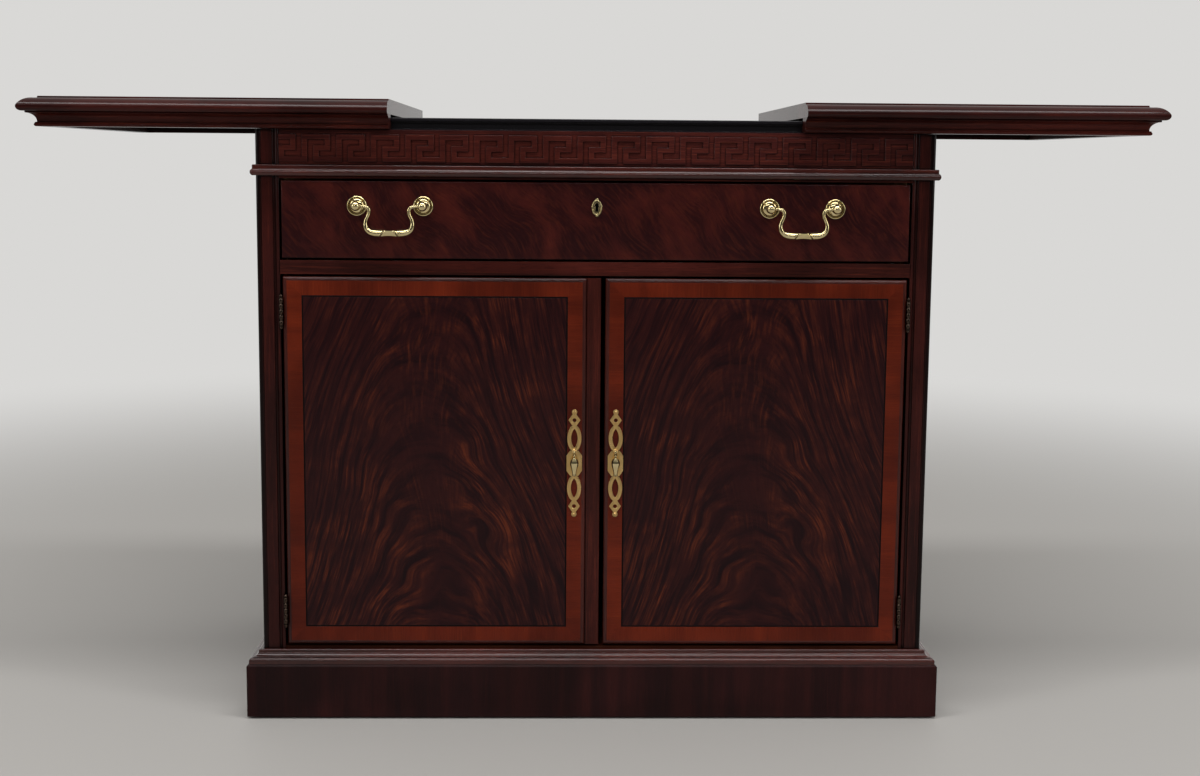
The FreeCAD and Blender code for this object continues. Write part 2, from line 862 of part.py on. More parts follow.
def rounded_path(points, radii):
    """Straight runs joined by tangent arcs, one radius for each inner point."""
    edges = []
    here = points[0]
    for before, corner, after, radius in zip(points, points[1:], points[2:], radii):
        arrive = (corner - before).normalize()
        leave = (after - corner).normalize()
        turn = arrive.getAngle(leave)
        cut = radius * math.tan(turn / 2)
        start = corner - arrive * cut
        end = corner + leave * cut
        bisector = (leave - arrive).normalize()
        through = corner + bisector * (radius / math.cos(turn / 2) - radius)
        edges.append(Part.LineSegment(here, start).toShape())
        edges.append(Part.Arc(start, through, end).toShape())
        here = end
    edges.append(Part.LineSegment(here, points[-1]).toShape())
    return Part.Wire(edges)


def swept(path, radius):
    """A round bar along a smooth path."""
    first = path.Edges[0]
    tangent = first.tangentAt(first.FirstParameter)
    ring = Part.Wire(Part.makeCircle(radius, path.Vertexes[0].Point, tangent))
    return path.makePipeShell([ring], True, False)


def bail(centre_x):
    """A swan-neck bail: two necks that curve in, two arms that flare out and a swelled grip."""
    origin = Vec(centre_x, drawer_face - post_reach, hardware_level)
    half = pull_spacing / 2
    level = bail_pin_radius
    pin_start = half + bail_pin_depth - running_gap
    neck = bail_neck_half_width
    arm = bail_half_width
    drop = bail_drop
    places = [(half - post_ball_radius, 0), (neck, 0), (neck, -drop * 0.26), (arm * 1.02, -drop * 0.66),
              (arm * 0.92, -drop), (0, -drop)]
    radii = [neck * 0.16, neck * 0.3, arm * 0.24, arm * 0.2]
    points = [origin + Vec(x, 0, z) for x, z in places]
    arm_bar = swept(rounded_path(points, radii), bail_wire_radius)
    pin = rod(level, origin + Vec(pin_start, 0, 0), origin + Vec(half - post_ball_radius, 0, 0))
    half_bail = fused([arm_bar, pin])
    other = half_bail.mirror(origin, Vec(1, 0, 0))
    s = bail_swell_radius
    w = bail_wire_radius
    reach = arm * 0.78
    steps = [(0, -reach), (w * 1.02, -reach), ((s * 0.92, -reach * 0.72), (s, -reach * 0.44)),
             (s * 0.72, -reach * 0.3), (s * 0.86, -reach * 0.24), (s * 0.86, reach * 0.24),
             (s * 0.72, reach * 0.3), (s, reach * 0.44), ((s * 0.92, reach * 0.72), (w * 1.02, reach)),
             (0, reach)]
    grip = turned(steps, origin + Vec(0, 0, -drop), Vec(1, 0, 0), Vec(0, 0, 1))
    return fused([half_bail, other, grip])


# Doors. Each function makes the right door.

def door_core():
    """The door board: a moulded edge all round the front and a shallow bed for the veneers."""
    blank = box(door_inner, door_outer, door_face, door_back, door_bottom, door_top)
    edges = [e for e in blank.Edges if e.BoundBox.YMax < door_face + door_edge_radius]
    blank = blank.makeFillet(door_edge_radius, edges)
    return blank.cut(face_field(0, door_face - cut_over))


def face_field(inset, y0):
    """The part of the door's face that the veneers cover, less an inset, as a thin slab from y0."""
    edge = door_edge_width + inset
    return box(door_inner + edge, door_outer - edge, y0, door_face + skin_thickness,
               door_bottom + edge, door_top - edge)


def frame_strips(inset, width):
    """Four mitred strips round the door's face."""
    outer = door_edge_width + inset
    x0, x1 = door_inner + outer, door_outer - outer
    z0, z1 = door_bottom + outer, door_top - outer
    ring = [(x0, z0), (x1, z0), (x1, z1), (x0, z1)]
    sides = [(1, 1), (-1, 1), (-1, -1), (1, -1)]
    inner = [(x + u * width, z + v * width) for (x, z), (u, v) in zip(ring, sides)]
    strips = []
    for i in range(len(ring)):
        j = (i + 1) % len(ring)
        face = outline([ring[i], ring[j], inner[j], inner[i]], lambda x, z: Vec(x, door_face, z))
        strips.append(face.extrude(Vec(0, skin_thickness, 0)))
    return group(strips)


def door_crossband():
    return frame_strips(0, crossband_width)


def door_stringing():
    return frame_strips(crossband_width, stringing_width)


def door_veneer():
    return face_field(crossband_width + stringing_width, door_face)


def door_astragal():
    """The strip on the free edge of the left door, on the right of the middle until it is mirrored."""
    strip = box(door_inner - astragal_width, door_inner, door_face + astragal_setback, door_back,
                door_bottom, door_top)
    edges = [e for e in strip.Edges
             if e.BoundBox.ZLength > astragal_width and e.BoundBox.YMax < door_back - astragal_setback]
    return strip.makeFillet(astragal_round, edges)


def door_strike():
    z1 = door_top - strike_gap
    x0 = catch_offset - strike_length / 2
    return box(x0, x0 + strike_length, door_back, door_back + strike_thickness, z1 - strike_height, z1)


def door_catches():
    y0 = door_back + strike_thickness + strike_gap
    x0 = catch_offset - catch_length / 2
    catch = box(x0, x0 + catch_length, y0, y0 + catch_width,
                drawer_rail_bottom - catch_height, drawer_rail_bottom)
    return group(both_sides(catch))


# Hinges

def hinge_leaf(level, numbers, plate_x0, plate_x1):
    """A hinge leaf with its own knuckles. The plate is cut back where the other leaf's knuckles turn."""
    foot = Vec(hinge_axis_x, hinge_axis_y, level - hinge_leaf_height / 2)
    pitch = hinge_leaf_height / knuckle_count
    end_gap = Vec(0, 0, knuckle_gap)
    pieces = [box(plate_x0, plate_x1, foot.y, foot.y + hinge_leaf_depth, foot.z, foot.z + hinge_leaf_height)]
    head = foot + Vec(0, 0, hinge_leaf_height)
    rooms = [rod(hinge_pin_radius + hinge_pin_gap, foot - end_gap, head + end_gap)]
    for i in range(knuckle_count):
        start = foot + Vec(0, 0, i * pitch)
        end = start + Vec(0, 0, pitch)
        if i in numbers:
            pieces.append(rod(barrel_radius, start + end_gap, end - end_gap))
        else:
            rooms.append(rod(barrel_radius + running_gap, start - end_gap, end + end_gap))
    return fused(pieces).cut(Part.makeCompound(rooms))


def frame_leaf(level):
    return hinge_leaf(level, (0, 2, 4), half_opening - hinge_leaf_thickness, half_opening)


def door_leaf(level):
    return hinge_leaf(level, (1, 3), door_outer, door_outer + hinge_leaf_thickness)


def hinge_frame_leaves():
    leaves = []
    for level in hinge_levels:
        leaves += both_sides(frame_leaf(level))
    return group(leaves)


def door_hinge_leaves():
    return group([door_leaf(level) for level in hinge_levels])


def hinge_pin(level):
    """A pin with a ball finial on a collar at each end."""
    centre = Vec(hinge_axis_x, hinge_axis_y, level)
    half = Vec(0, 0, hinge_leaf_height / 2)
    collar = Vec(0, 0, finial_collar)
    ball = Vec(0, 0, finial_radius * 0.8)
    pieces = [rod(hinge_pin_radius, centre - half - collar, centre + half + collar)]
    for side in (-1, 1):
        end = centre + half * side
        pieces.append(rod(barrel_radius, end, end + collar * side))
        pieces.append(Part.makeSphere(finial_radius, end + (collar + ball) * side))
    return fused(pieces)


def hinge_pins():
    pins = []
    for level in hinge_levels:
        pins += both_sides(hinge_pin(level))
    return group(pins)


# Door pulls

def plate_middle():
    x = door_inner + door_edge_width + crossband_width / 2
    return Vec(x, door_face, door_bottom + door_height * plate_centre_share)


def drop_pivot():
    return plate_middle() + Vec(0, -plate_thickness - drop_reach, plate_half_height * 0.225)


def plate_disc(centre, radius):
    return rod(radius, centre, centre + Vec(0, -plate_thickness, 0))


def plate_polygon(centre, corners):
    face = outline(corners, lambda u, v: centre + Vec(u * plate_half_width, 0, v * plate_half_height))
    return face.extrude(Vec(0, -plate_thickness, 0))


def pierced_plate():
    """An eight-sided middle between two pierced ovals, with a pierced lozenge and a pin disc beyond each."""
    centre = plate_middle()
    w = plate_half_width
    h = plate_half_height
    octagon_shares = [(-0.52, -0.235), (0.52, -0.235), (1.0, -0.14), (1.0, 0.14),
                      (0.52, 0.235), (-0.52, 0.235), (-1.0, 0.14), (-1.0, -0.14)]
    solids = [plate_polygon(centre, octagon_shares)]
    holes = []
    for side in (-1, 1):
        ring = centre + Vec(0, 0, side * h * 0.462)
        solids.append(oval_plate(ring, w * 0.9, h * 0.245, plate_thickness))
        holes.append(oval_plate(ring, w * 0.4, h * 0.172, plate_thickness))
        eye = centre + Vec(0, 0, side * h * 0.8)
        lozenge_shares = [(-0.74, side * 0.8), (-0.2, side * 0.69), (0.2, side * 0.69), (0.74, side * 0.8),
                          (0.2, side * 0.915), (-0.2, side * 0.915)]
        solids.append(plate_polygon(centre, lozenge_shares))
        solids.append(plate_disc(eye, w * 0.56))
        holes.append(plate_disc(eye, w * 0.27))
        solids.append(plate_disc(centre + Vec(0, 0, side * h * 0.95), w * 0.33))
    return fused(solids).cut(Part.makeCompound(holes))


def drop_stud():
    """A stud with a slotted ball end and a cross pin, which carries the drop."""
    pivot = drop_pivot()
    seat = Vec(pivot.x, door_face, pivot.z)
    stud = fused([rod(drop_stud_radius, seat, pivot), Part.makeSphere(drop_ball_radius, pivot)])
    half = drop_slot_width / 2
    room = drop_tab_radius + running_gap
    slot = box(pivot.x - half, pivot.x + half, pivot.y - drop_ball_radius - cut_over, pivot.y + room,
               pivot.z - drop_ball_radius - cut_over, pivot.z + room)
    reach = Vec(drop_ball_radius * 0.8, 0, 0)
    pin = rod(drop_pivot_radius, pivot - reach, pivot + reach)
    return fused([stud.cut(slot), pin])


def door_pull_plate():
    """The pierced plate, its two pins and the stud of the drop."""
    centre = plate_middle()
    pins = [pin_head(centre + Vec(0, -plate_thickness, side * plate_half_height * 0.95), plate_pin_radius)
            for side in (-1, 1)]
    return fused([pierced_plate()] + pins + [drop_stud()])


def door_drop():
    """A pear-shaped drop that hangs by a flat eye from the stud's pin."""
    pivot = drop_pivot()
    length = drop_length
    r = drop_radius
    top = drop_ball_radius + 2 * running_gap
    steps = [(0, top), (r * 0.22, top), ((r * 0.36, length * 0.2), (r * 0.62, length * 0.3)),
             ((r, length * 0.44), (r * 0.72, length * 0.62)),
             ((r * 0.5, length * 0.78), (r * 0.46, length * 0.93)),
             (r * 0.3, length * 0.96), (r * 0.18, length), (0, length)]
    pear = turned(steps, pivot, Vec(0, 0, -1), Vec(1, 0, 0))
    half = drop_tab_thickness / 2
    depth = r * 0.22
    eye = rod(drop_tab_radius, pivot - Vec(half, 0, 0), pivot + Vec(half, 0, 0))
    tab = box(pivot.x - half, pivot.x + half, pivot.y - depth, pivot.y + depth,
              pivot.z - top - cut_over, pivot.z)
    hole = rod(drop_pivot_radius + drop_pivot_gap, pivot - Vec(r, 0, 0), pivot + Vec(r, 0, 0))
    return fused([pear, eye, tab]).cut(hole)


# Shelf

def shelf():
    z0 = shelf_level() - shelf_thickness / 2
    half = half_inside - shelf_end_gap
    return box(-half, half, front + shelf_setback, inside_back - shelf_end_gap, z0, z0 + shelf_thickness)


def shelf_pins():
    z = shelf_level() - shelf_thickness / 2 - shelf_pin_radius
    pins = []
    for y in shelf_pin_places():
        start = Vec(half_inside - shelf_pin_length, y, z)
        end = Vec(half_inside + shelf_pin_depth, y, z)
        pins += both_sides(rod(shelf_pin_radius, start, end))
    return group(pins)


# Every node by name

nodes = {
    "plinth_boards": plinth_boards(),
    "base_mouldings": base_mouldings(),
    "corner_blocks": corner_blocks(),
    "floor_glides": floor_glides(),
    "cabinet_floor": cabinet_floor(),
    "side_panels": side_panels(),
    "front_posts": front_posts(),
    "back_panel": back_panel(),
    "frieze_board": frieze_board(),
    "frieze_fret": frieze_fret(),
    "waist_mouldings": waist_mouldings(),
    "waist_rail": waist_rail(),
    "drawer_rail": drawer_rail(),
    "dust_panel": dust_slab(),
    "drawer_runners": drawer_runners(),
    "drawer_kickers": drawer_kickers(),
    "sub_top": sub_top(),
    "serving_top": serving_top(),
    "slide_tracks": slide_tracks(),
    "shelf": shelf(),
    "shelf_pins": shelf_pins(),
    "hinge_frame_leaves": hinge_frame_leaves(),
    "hinge_pins": hinge_pins(),
    "door_catches": door_catches(),
    "drawer_front": drawer_front(),
    "drawer_sides": drawer_sides(),
    "drawer_back": drawer_back(),
    "drawer_bottom": drawer_bottom_slab(),
    "drawer_lock": drawer_lock(),
    "drawer_lock_bolt": lock_bolt(),
    "keyhole_escutcheon": keyhole_escutcheon(),
    "pull_rosettes": pull_rosettes(),
    "pull_posts": pull_posts(),
}
for side, x in zip(("left", "right"), pull_places()):
    nodes[side + "_pull_bail"] = bail(x)

leaf_pieces = {
    "slab": leaf_slab(),
    "mouldings": leaf_mouldings(),
    "back_rail": leaf_back_rail(),
    "runners": leaf_runners(),
}
door_pieces = {
    "core": door_core(),
    "crossband": door_crossband(),
    "stringing": door_stringing(),
    "veneer": door_veneer(),
    "hinge_leaves": door_hinge_leaves(),
    "pull_plate": door_pull_plate(),
    "strike": door_strike(),
    "drop": door_drop(),
}
for piece, shape in leaf_pieces.items():
    nodes["right_leaf_" + piece] = shape
    nodes["left_leaf_" + piece] = mirrored(shape)
for piece, shape in door_pieces.items():
    nodes["right_door_" + piece] = shape
    nodes["left_door_" + piece] = mirrored(shape)
nodes["left_door_astragal"] = mirrored(door_astragal())

for name, shape in nodes.items():
    shape.exportStep("parts/" + name + ".step")
print(len(nodes), "nodes,", sum(len(shape.Solids) for shape in nodes.values()), "solids")
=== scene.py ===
# %% [markdown]
# A mahogany server, dressed for its picture
#
# The frame that this script loads holds every board, rail and hinge at its real size.
# What is left to do here is what a finisher and a brass founder do: give each wood its
# figure and its lacquer, and give each casting the soft edges that come out of the sand.
# Everything is in metres, with the floor at z = 0 and the doors facing -Y.

# %% The frame
import math
import bmesh
import bpy
import numpy as np
from mathutils import Matrix, Vector


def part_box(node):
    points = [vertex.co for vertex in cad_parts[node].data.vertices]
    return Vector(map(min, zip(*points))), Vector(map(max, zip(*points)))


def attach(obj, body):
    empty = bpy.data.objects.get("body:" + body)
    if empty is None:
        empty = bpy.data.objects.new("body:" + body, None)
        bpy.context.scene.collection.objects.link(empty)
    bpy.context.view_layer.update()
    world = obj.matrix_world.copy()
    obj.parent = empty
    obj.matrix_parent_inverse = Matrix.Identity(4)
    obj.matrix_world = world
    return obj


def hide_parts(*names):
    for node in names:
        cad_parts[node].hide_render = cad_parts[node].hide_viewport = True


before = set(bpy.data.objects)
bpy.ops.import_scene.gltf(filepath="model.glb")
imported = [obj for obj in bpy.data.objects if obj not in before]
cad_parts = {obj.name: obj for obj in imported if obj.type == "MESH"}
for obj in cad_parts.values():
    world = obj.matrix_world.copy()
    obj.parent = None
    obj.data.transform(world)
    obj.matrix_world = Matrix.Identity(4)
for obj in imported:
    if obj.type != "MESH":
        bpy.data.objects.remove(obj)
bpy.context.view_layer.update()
MM = 0.001

# %% [markdown]
# Colours
#
# Paint and stain are matched against a card, and cards are written in sRGB hex.
# The shader wants linear light, so one function turns a card's hex into what it needs.
# A second one adds a shader node with its settings and its links, whatever its kind.

# %% Colours
def colour(card):
    """An sRGB hex as linear RGBA: a value s up to 0.04045 is divided by 12.92,
    and above that it is ((s + 0.055) / 1.055) to the power 2.4."""
    values = [int(card[i:i + 2], 16) / 255 for i in (1, 3, 5)]
    return [s / 12.92 if s <= 0.04045 else ((s + 0.055) / 1.055) ** 2.4 for s in values] + [1.0]

# %% Nodes
def add(tree, kind, settings=None, inputs=()):
    """Adds one shader node. Settings are the node's own properties. Inputs are given by
    name, or in the order of the sockets in use. A node or socket is linked, a card's hex
    becomes its colour, and anything else is the input's value."""
    node = tree.nodes.new("ShaderNode" + kind)
    for name, value in (settings or {}).items():
        setattr(node, name, value)
    sockets = [s for s in node.inputs if s.enabled]
    if isinstance(inputs, dict):
        sockets = [next(s for s in sockets if s.name == name) for name in inputs]
        inputs = inputs.values()
    for socket, value in zip(sockets, inputs):
        if isinstance(value, bpy.types.Node):
            value = next(s for s in value.outputs if s.enabled)
        if isinstance(value, bpy.types.NodeSocket):
            tree.links.new(value, socket)
        else:
            socket.default_value = colour(value) if isinstance(value, str) else value
    return node


# settings that come back: a range that is eased, and two colours mixed or multiplied
eased = {"interpolation_type": "SMOOTHSTEP"}
mixed = {"data_type": "RGBA"}
multiplied = {"data_type": "RGBA", "blend_type": "MULTIPLY"}


def start(name):
    """A material with an empty tree and its output."""
    made = bpy.data.materials.new(name)
    made.use_nodes = True
    made.node_tree.nodes.clear()
    return made, made.node_tree, add(made.node_tree, "OutputMaterial")


def finish_with(tree, output, shader):
    tree.links.new(shader.outputs[0], output.inputs["Surface"])


def in_scene(name, data):
    """A new object that holds the data."""
    made = bpy.data.objects.new(name, data)
    bpy.context.scene.collection.objects.link(made)
    return made

# %% [markdown]
# The camera
#
# The photograph was taken standing, from a little over two metres away and just left of
# the middle, with the camera tipped down by six and a half degrees. Yaw, pitch and roll
# were worked out from the cabinet's own corners, and the small shift is the part of the
# picture that was cropped away.

# %% The camera
picture_width = 1200
focal_pixels = 1499.3
sensor = 36.0
stand = Vector((-0.0465, -2.2538, 0.7718))
yaw, pitch, roll = 0.0220, -0.1143, 0.0081
level_ahead = Vector((math.sin(yaw), math.cos(yaw), 0))
level_right = Vector((math.cos(yaw), -math.sin(yaw), 0))
ahead = level_ahead * math.cos(pitch) + Vector((0, 0, math.sin(pitch)))
upward = Vector((0, 0, math.cos(pitch))) - level_ahead * math.sin(pitch)
right = level_right * math.cos(roll) + upward * math.sin(roll)
upward = upward * math.cos(roll) - level_right * math.sin(roll)
camera_data = bpy.data.cameras.new("photo_camera")
camera = in_scene("photo_camera", camera_data)
turn = Matrix((right, upward, -ahead)).transposed()
camera.matrix_world = Matrix.Translation(stand) @ turn.to_4x4()
camera_data.sensor_width = sensor
camera_data.lens = focal_pixels * sensor / picture_width
camera_data.shift_x = 0.0046
camera_data.shift_y = -0.0468
bpy.context.scene.camera = camera
bpy.context.scene.view_settings.view_transform = "Standard"
print("lens", round(camera_data.lens, 2), "mm")

# %% [markdown]
# The studio
#
# Dark lacquer shows the room more than it shows itself, so a photographer builds a room
# for it: a pale floor, a pale room behind and above, and a dim space in front, so that
# the doors keep their depth. The light overhead is long and narrow, because a broad one
# would lie as a grey veil on every moulding that faces up. A second strip, high in front,
# lights the faces, and one stands at each side. The world's colour depends on the
# direction that a ray leaves in. Mirrored in brass or lacquer, the room behind and above
# is as pale as the backdrop, and what the camera sees directly is pale all round.

# %% The studio
pale = "#d9d8d6"
world = bpy.data.worlds.new("soft_room")
bpy.context.scene.world = world
world.use_nodes = True
room = world.node_tree
room.nodes.clear()


def ways_seen(tree):
    """1 for a ray from the camera itself, then 1 for a ray that comes by way of a mirror."""
    seen = add(tree, "LightPath").outputs
    return seen["Is Camera Ray"], add(tree, "Math", {"operation": "ADD"},
                                      (seen["Is Glossy Ray"], seen["Is Transmission Ray"]))


heading = add(room, "SeparateXYZ", None, (add(room, "TexCoord").outputs["Generated"],)).outputs
# 1 behind the cabinet and 0 in front of it, then the same for straight above
behind = add(room, "MapRange", eased, (heading["Y"], -0.75, 0.15))
above = add(room, "MapRange", eased, (heading["Z"], 0.6, 0.98))
bright = add(room, "Math", {"operation": "MAXIMUM"}, (behind, above))
straight, mirrored = ways_seen(room)
top = add(room, "MapRange", None, (mirrored, 0, 1, 0.8, 1.0))
level = add(room, "MapRange", None, (bright, 0, 1, 0.1, top))
strength = add(room, "Mix", {"data_type": "FLOAT"}, (straight, level, 1.0))
sky = add(room, "Background", None, {"Color": pale, "Strength": strength})
finish_with(room, add(room, "OutputWorld"), sky)


def lamp(name, size_x, size_y, place, target, watts):
    """A soft rectangular light that looks at a point."""
    data = bpy.data.lights.new(name, "AREA")
    data.shape = "RECTANGLE"
    data.size = size_x
    data.size_y = size_y
    data.energy = watts
    made = in_scene(name, data)
    made.location = place
    made.rotation_euler = (Vector(target) - Vector(place)).to_track_quat("-Z", "Y").to_euler()


lamp("overhead_softbox", 3.2, 0.4, (0.0, -0.9, 2.9), (0, 0, 0.4), 44)
lamp("front_strip", 3.6, 0.2, (0.0, -3.9, 2.5), (0, 0, 0.6), 28)
lamp("left_strip", 0.5, 1.8, (-2.6, -1.6, 1.5), (0, 0, 0.5), 14)
lamp("right_strip", 0.5, 1.8, (2.6, -1.6, 1.5), (0, 0, 0.5), 14)

# %% [markdown]
# The floor
#
# One large flat disc. Near the cabinet it is a pale matt board that catches the shadow,
# and further out it fades into the room's own colour, so that no horizon shows.

# %% The floor
floor_radius = 14.0
ring = np.linspace(0, 2 * np.pi, 96, endpoint=False)
rim = np.stack([floor_radius * np.cos(ring), floor_radius * np.sin(ring), 0 * ring], 1)
floor_mesh = bpy.data.meshes.new("studio_floor")
floor_mesh.from_pydata(rim.tolist(), [], [list(range(len(rim)))])
floor = in_scene("studio_floor", floor_mesh)
floor_paint, tree, output = start("matt_floor_paint")
where = add(tree, "TexCoord").outputs["Object"]
away = add(tree, "VectorMath", {"operation": "LENGTH"}, (where,))
fade = add(tree, "MapRange", eased, (away.outputs["Value"], 1.0, 3.4))
# mirrored in the object, the floor fades too, except in the dim space in front of it
place = add(tree, "SeparateXYZ", None, (where,))
rear = add(tree, "MapRange", None, (place.outputs["Y"], -0.5, 0.0))
straight, mirrored = ways_seen(tree)
mirrored = add(tree, "Math", {"operation": "MULTIPLY"}, (mirrored, rear))
either = add(tree, "Math", {"operation": "MAXIMUM"}, (mirrored, straight))
faded = add(tree, "Math", {"operation": "MULTIPLY"}, (fade, either))
board = add(tree, "BsdfPrincipled", None, {"Base Color": "#b6b3af", "Roughness": 0.6,
                                           "Specular IOR Level": 0.2})
far = add(tree, "Emission", None, {"Color": pale, "Strength": 1.0})
both = add(tree, "MixShader", None, (faded, board, far))
finish_with(tree, output, both)
floor_mesh.materials.append(floor_paint)

# %% [markdown]
# Surfaces from arrays
#
# Every new piece below is one or more grids of points. A grid is worked out as a whole
# array from two parameters, and its faces join neighbours in the two directions. Rows or
# columns can close on themselves, as the turns of a lathe do.

# %% Grids to meshes
def quads(rows, columns, close_rows, close_columns, first):
    """The corner numbers of every face of a grid whose points are numbered row by row."""
    number = np.arange(rows * columns).reshape(rows, columns) + first
    if close_rows:
        number = np.vstack([number, number[:1]])
    if close_columns:
        number = np.hstack([number, number[:, :1]])
    corners = [number[:-1, :-1], number[1:, :-1], number[1:, 1:], number[:-1, 1:]]
    return np.stack(corners, -1).reshape(-1, 4)


def build(name, grids, material, body, replaced=(), crease=35, keep=None):
    """One piece from several grids. Each grid is (points, close rows, close columns).
    Points that meet are welded, normals are turned outwards on each closed shell, and an
    edge that bends by more than the crease angle stays sharp."""
    points, faces, count = [], [], 0
    for number, (grid, close_rows, close_columns) in enumerate(grids):
        rows, columns = grid.shape[:2]
        corners = quads(rows, columns, close_rows, close_columns, count)
        if keep is not None and keep[number] is not None:
            corners = corners[keep[number]]
        faces.append(corners)
        points.append(grid.reshape(-1, 3))
        count += rows * columns
    mesh = bpy.data.meshes.new(name)
    mesh.from_pydata(np.concatenate(points).tolist(), [], np.concatenate(faces).tolist())
    work = bmesh.new()
    work.from_mesh(mesh)
    bmesh.ops.remove_doubles(work, verts=work.verts, dist=2e-6)
    bmesh.ops.dissolve_degenerate(work, edges=work.edges, dist=1e-7)
    bmesh.ops.recalc_face_normals(work, faces=work.faces)
    limit = math.radians(crease)
    for edge in work.edges:
        edge.smooth = len(edge.link_faces) == 2 and edge.calc_face_angle(0) < limit
    for face in work.faces:
        face.smooth = True
    work.to_mesh(mesh)
    work.free()
    made = in_scene(name, mesh)
    mesh.materials.append(material)
    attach(made, body)
    if replaced:
        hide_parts(*replaced)
    print(name, "faces", len(mesh.polygons))
    return made

# %% Smooth lines and turned shapes
def fair(points, per_span=6):
    """A smooth line through a few points: Catmull-Rom cubics, in which the slope at a
    point is half the step from the point before it to the point after it."""
    p = np.asarray(points, float)
    p = np.vstack([2 * p[0] - p[1], p, 2 * p[-1] - p[-2]])
    t = np.linspace(0, 1, per_span, endpoint=False)[None, :, None]
    a, b, c, d = (p[i:len(p) - 3 + i, None, :] for i in range(4))
    curve = 0.5 * (2 * b + (c - a) * t + (2 * a - 5 * b + 4 * c - d) * t ** 2
                   + (3 * b - a - 3 * c + d) * t ** 3)
    return np.vstack([curve.reshape(-1, p.shape[1]), p[-2:-1]])


def capped(*curves):
    """Curves joined to one profile that starts and ends on the axis."""
    line = np.vstack(curves)
    if line[-1, 0]:
        line = np.vstack([line, line[-1:] * (0, 1)])
    return np.vstack([line[:1] * (0, 1), line])


def lathe(profile, centre, axis, across, steps=40, facets=0, depth=0.0):
    """A turned grid: the point at radius r and distance h along the axis, both in
    millimetres, goes to centre + h axis + r (cos a across + sin a side). With facets, r
    shrinks by a share of depth between the ridges of a polygon with that many sides."""
    profile = np.asarray(profile, float) * MM
    axis, across = np.asarray(axis, float), np.asarray(across, float)
    side = np.cross(axis, across)
    angle = np.linspace(0, 2 * np.pi, steps, endpoint=False)
    spoke = np.cos(angle)[:, None] * across + np.sin(angle)[:, None] * side
    radius = profile[:, 0][:, None] * (1 - depth * np.abs(np.sin(angle * facets / 2)) ** 0.7)
    grid = radius[..., None] * spoke + (profile[:, 1][:, None] * axis)[:, None, :]
    return (grid + np.asarray(centre, float), False, True)

# %% [markdown]
# Polished brass
#
# The pulls and plates are cast yellow brass, filed, polished on a wheel and lacquered.
# Years leave brown dirt in the hollows and a faint haze on the rest. Pointiness would
# find the hollows, but it depends on the mesh, so the dirt here comes from ambient
# occlusion over a millimetre or two, which reads the shape itself. A metal's colour is
# its reflection, so the base colour is the bright yellow that brass gives back. The
# hinges are toned in a chemical bath, which leaves them nearly black.

# %% Polished brass
def brass(name, bright_card, hazed_card, dirt_card, rough_low, rough_high, dirt_reach):
    """A cast metal with haze, fine scratches and dirt in its hollows."""
    material, tree, output = start(name)
    where = add(tree, "TexCoord").outputs["Object"]
    haze = add(tree, "TexNoise", None, {"Vector": where, "Scale": 1 / (14 * MM), "Detail": 4.0,
                                        "Roughness": 0.6})
    scratch = add(tree, "TexNoise", None, {"Vector": where, "Scale": 1 / (0.9 * MM)})
    hollow = add(tree, "AmbientOcclusion", {"samples": 8}, {"Distance": dirt_reach * MM})
    clean = add(tree, "MapRange", None, (hollow.outputs["AO"], 0.35, 0.85))
    toned = add(tree, "Mix", mixed, (haze, bright_card, hazed_card))
    shade = add(tree, "Mix", mixed, (clean, dirt_card, toned))
    rough = add(tree, "MapRange", None, (haze, 0.35, 0.7, rough_low, rough_high))
    bump = add(tree, "Bump", None, {"Height": scratch, "Strength": 0.12, "Distance": 0.05 * MM})
    shader = add(tree, "BsdfPrincipled", None, {"Base Color": shade, "Metallic": 1.0,
                                                "Roughness": rough, "Normal": bump})
    finish_with(tree, output, shader)
    return material


# buffed on a wheel: sharp lights. Brushed and lacquered: a soft even gold. Toned: dark
polished_brass = brass("polished_cast_brass", "#ecdcae", "#c4ae76", "#2e2110", 0.06, 0.17, 2.0)
satin_brass = brass("satin_cast_brass", "#ebc98a", "#c49d5e", "#33230f", 0.26, 0.42, 2.0)
toned_bronze = brass("chemically_toned_bronze", "#54463c", "#352b25", "#0a0706", 0.14, 0.24, 1.2)

# %% [markdown]
# The drawer's bail pulls
#
# Each pull has two dished rosettes, a ball-headed post in each, and a swan-neck bail
# that hangs from the posts. The bail is one casting: thin necks that curve in, arms that
# flare out, and a grip that swells to both sides of a faceted waist. A bar carried along
# a path gives all of that, with its radius and its cross-section changing on the way.
# A turned piece is a profile spun round an axis. Each point of a profile is a radius and
# a height in millimetres, and each point of the path is across and up from the middle
# between the posts.

# %% Where the pulls are
def middle_of(node):
    low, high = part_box(node)
    return (low + high) / 2


drawer_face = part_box("drawer_front")[0].y
pull_level = middle_of("keyhole_escutcheon").z
pull_centres = [middle_of(n).x for n in ("left_pull_bail", "right_pull_bail")]
boring = 89.0 * MM
post_offset = boring / 2
pivot_out = 15.0 * MM
print("pull centres", [round(x, 4) for x in pull_centres], "level", round(pull_level, 4))

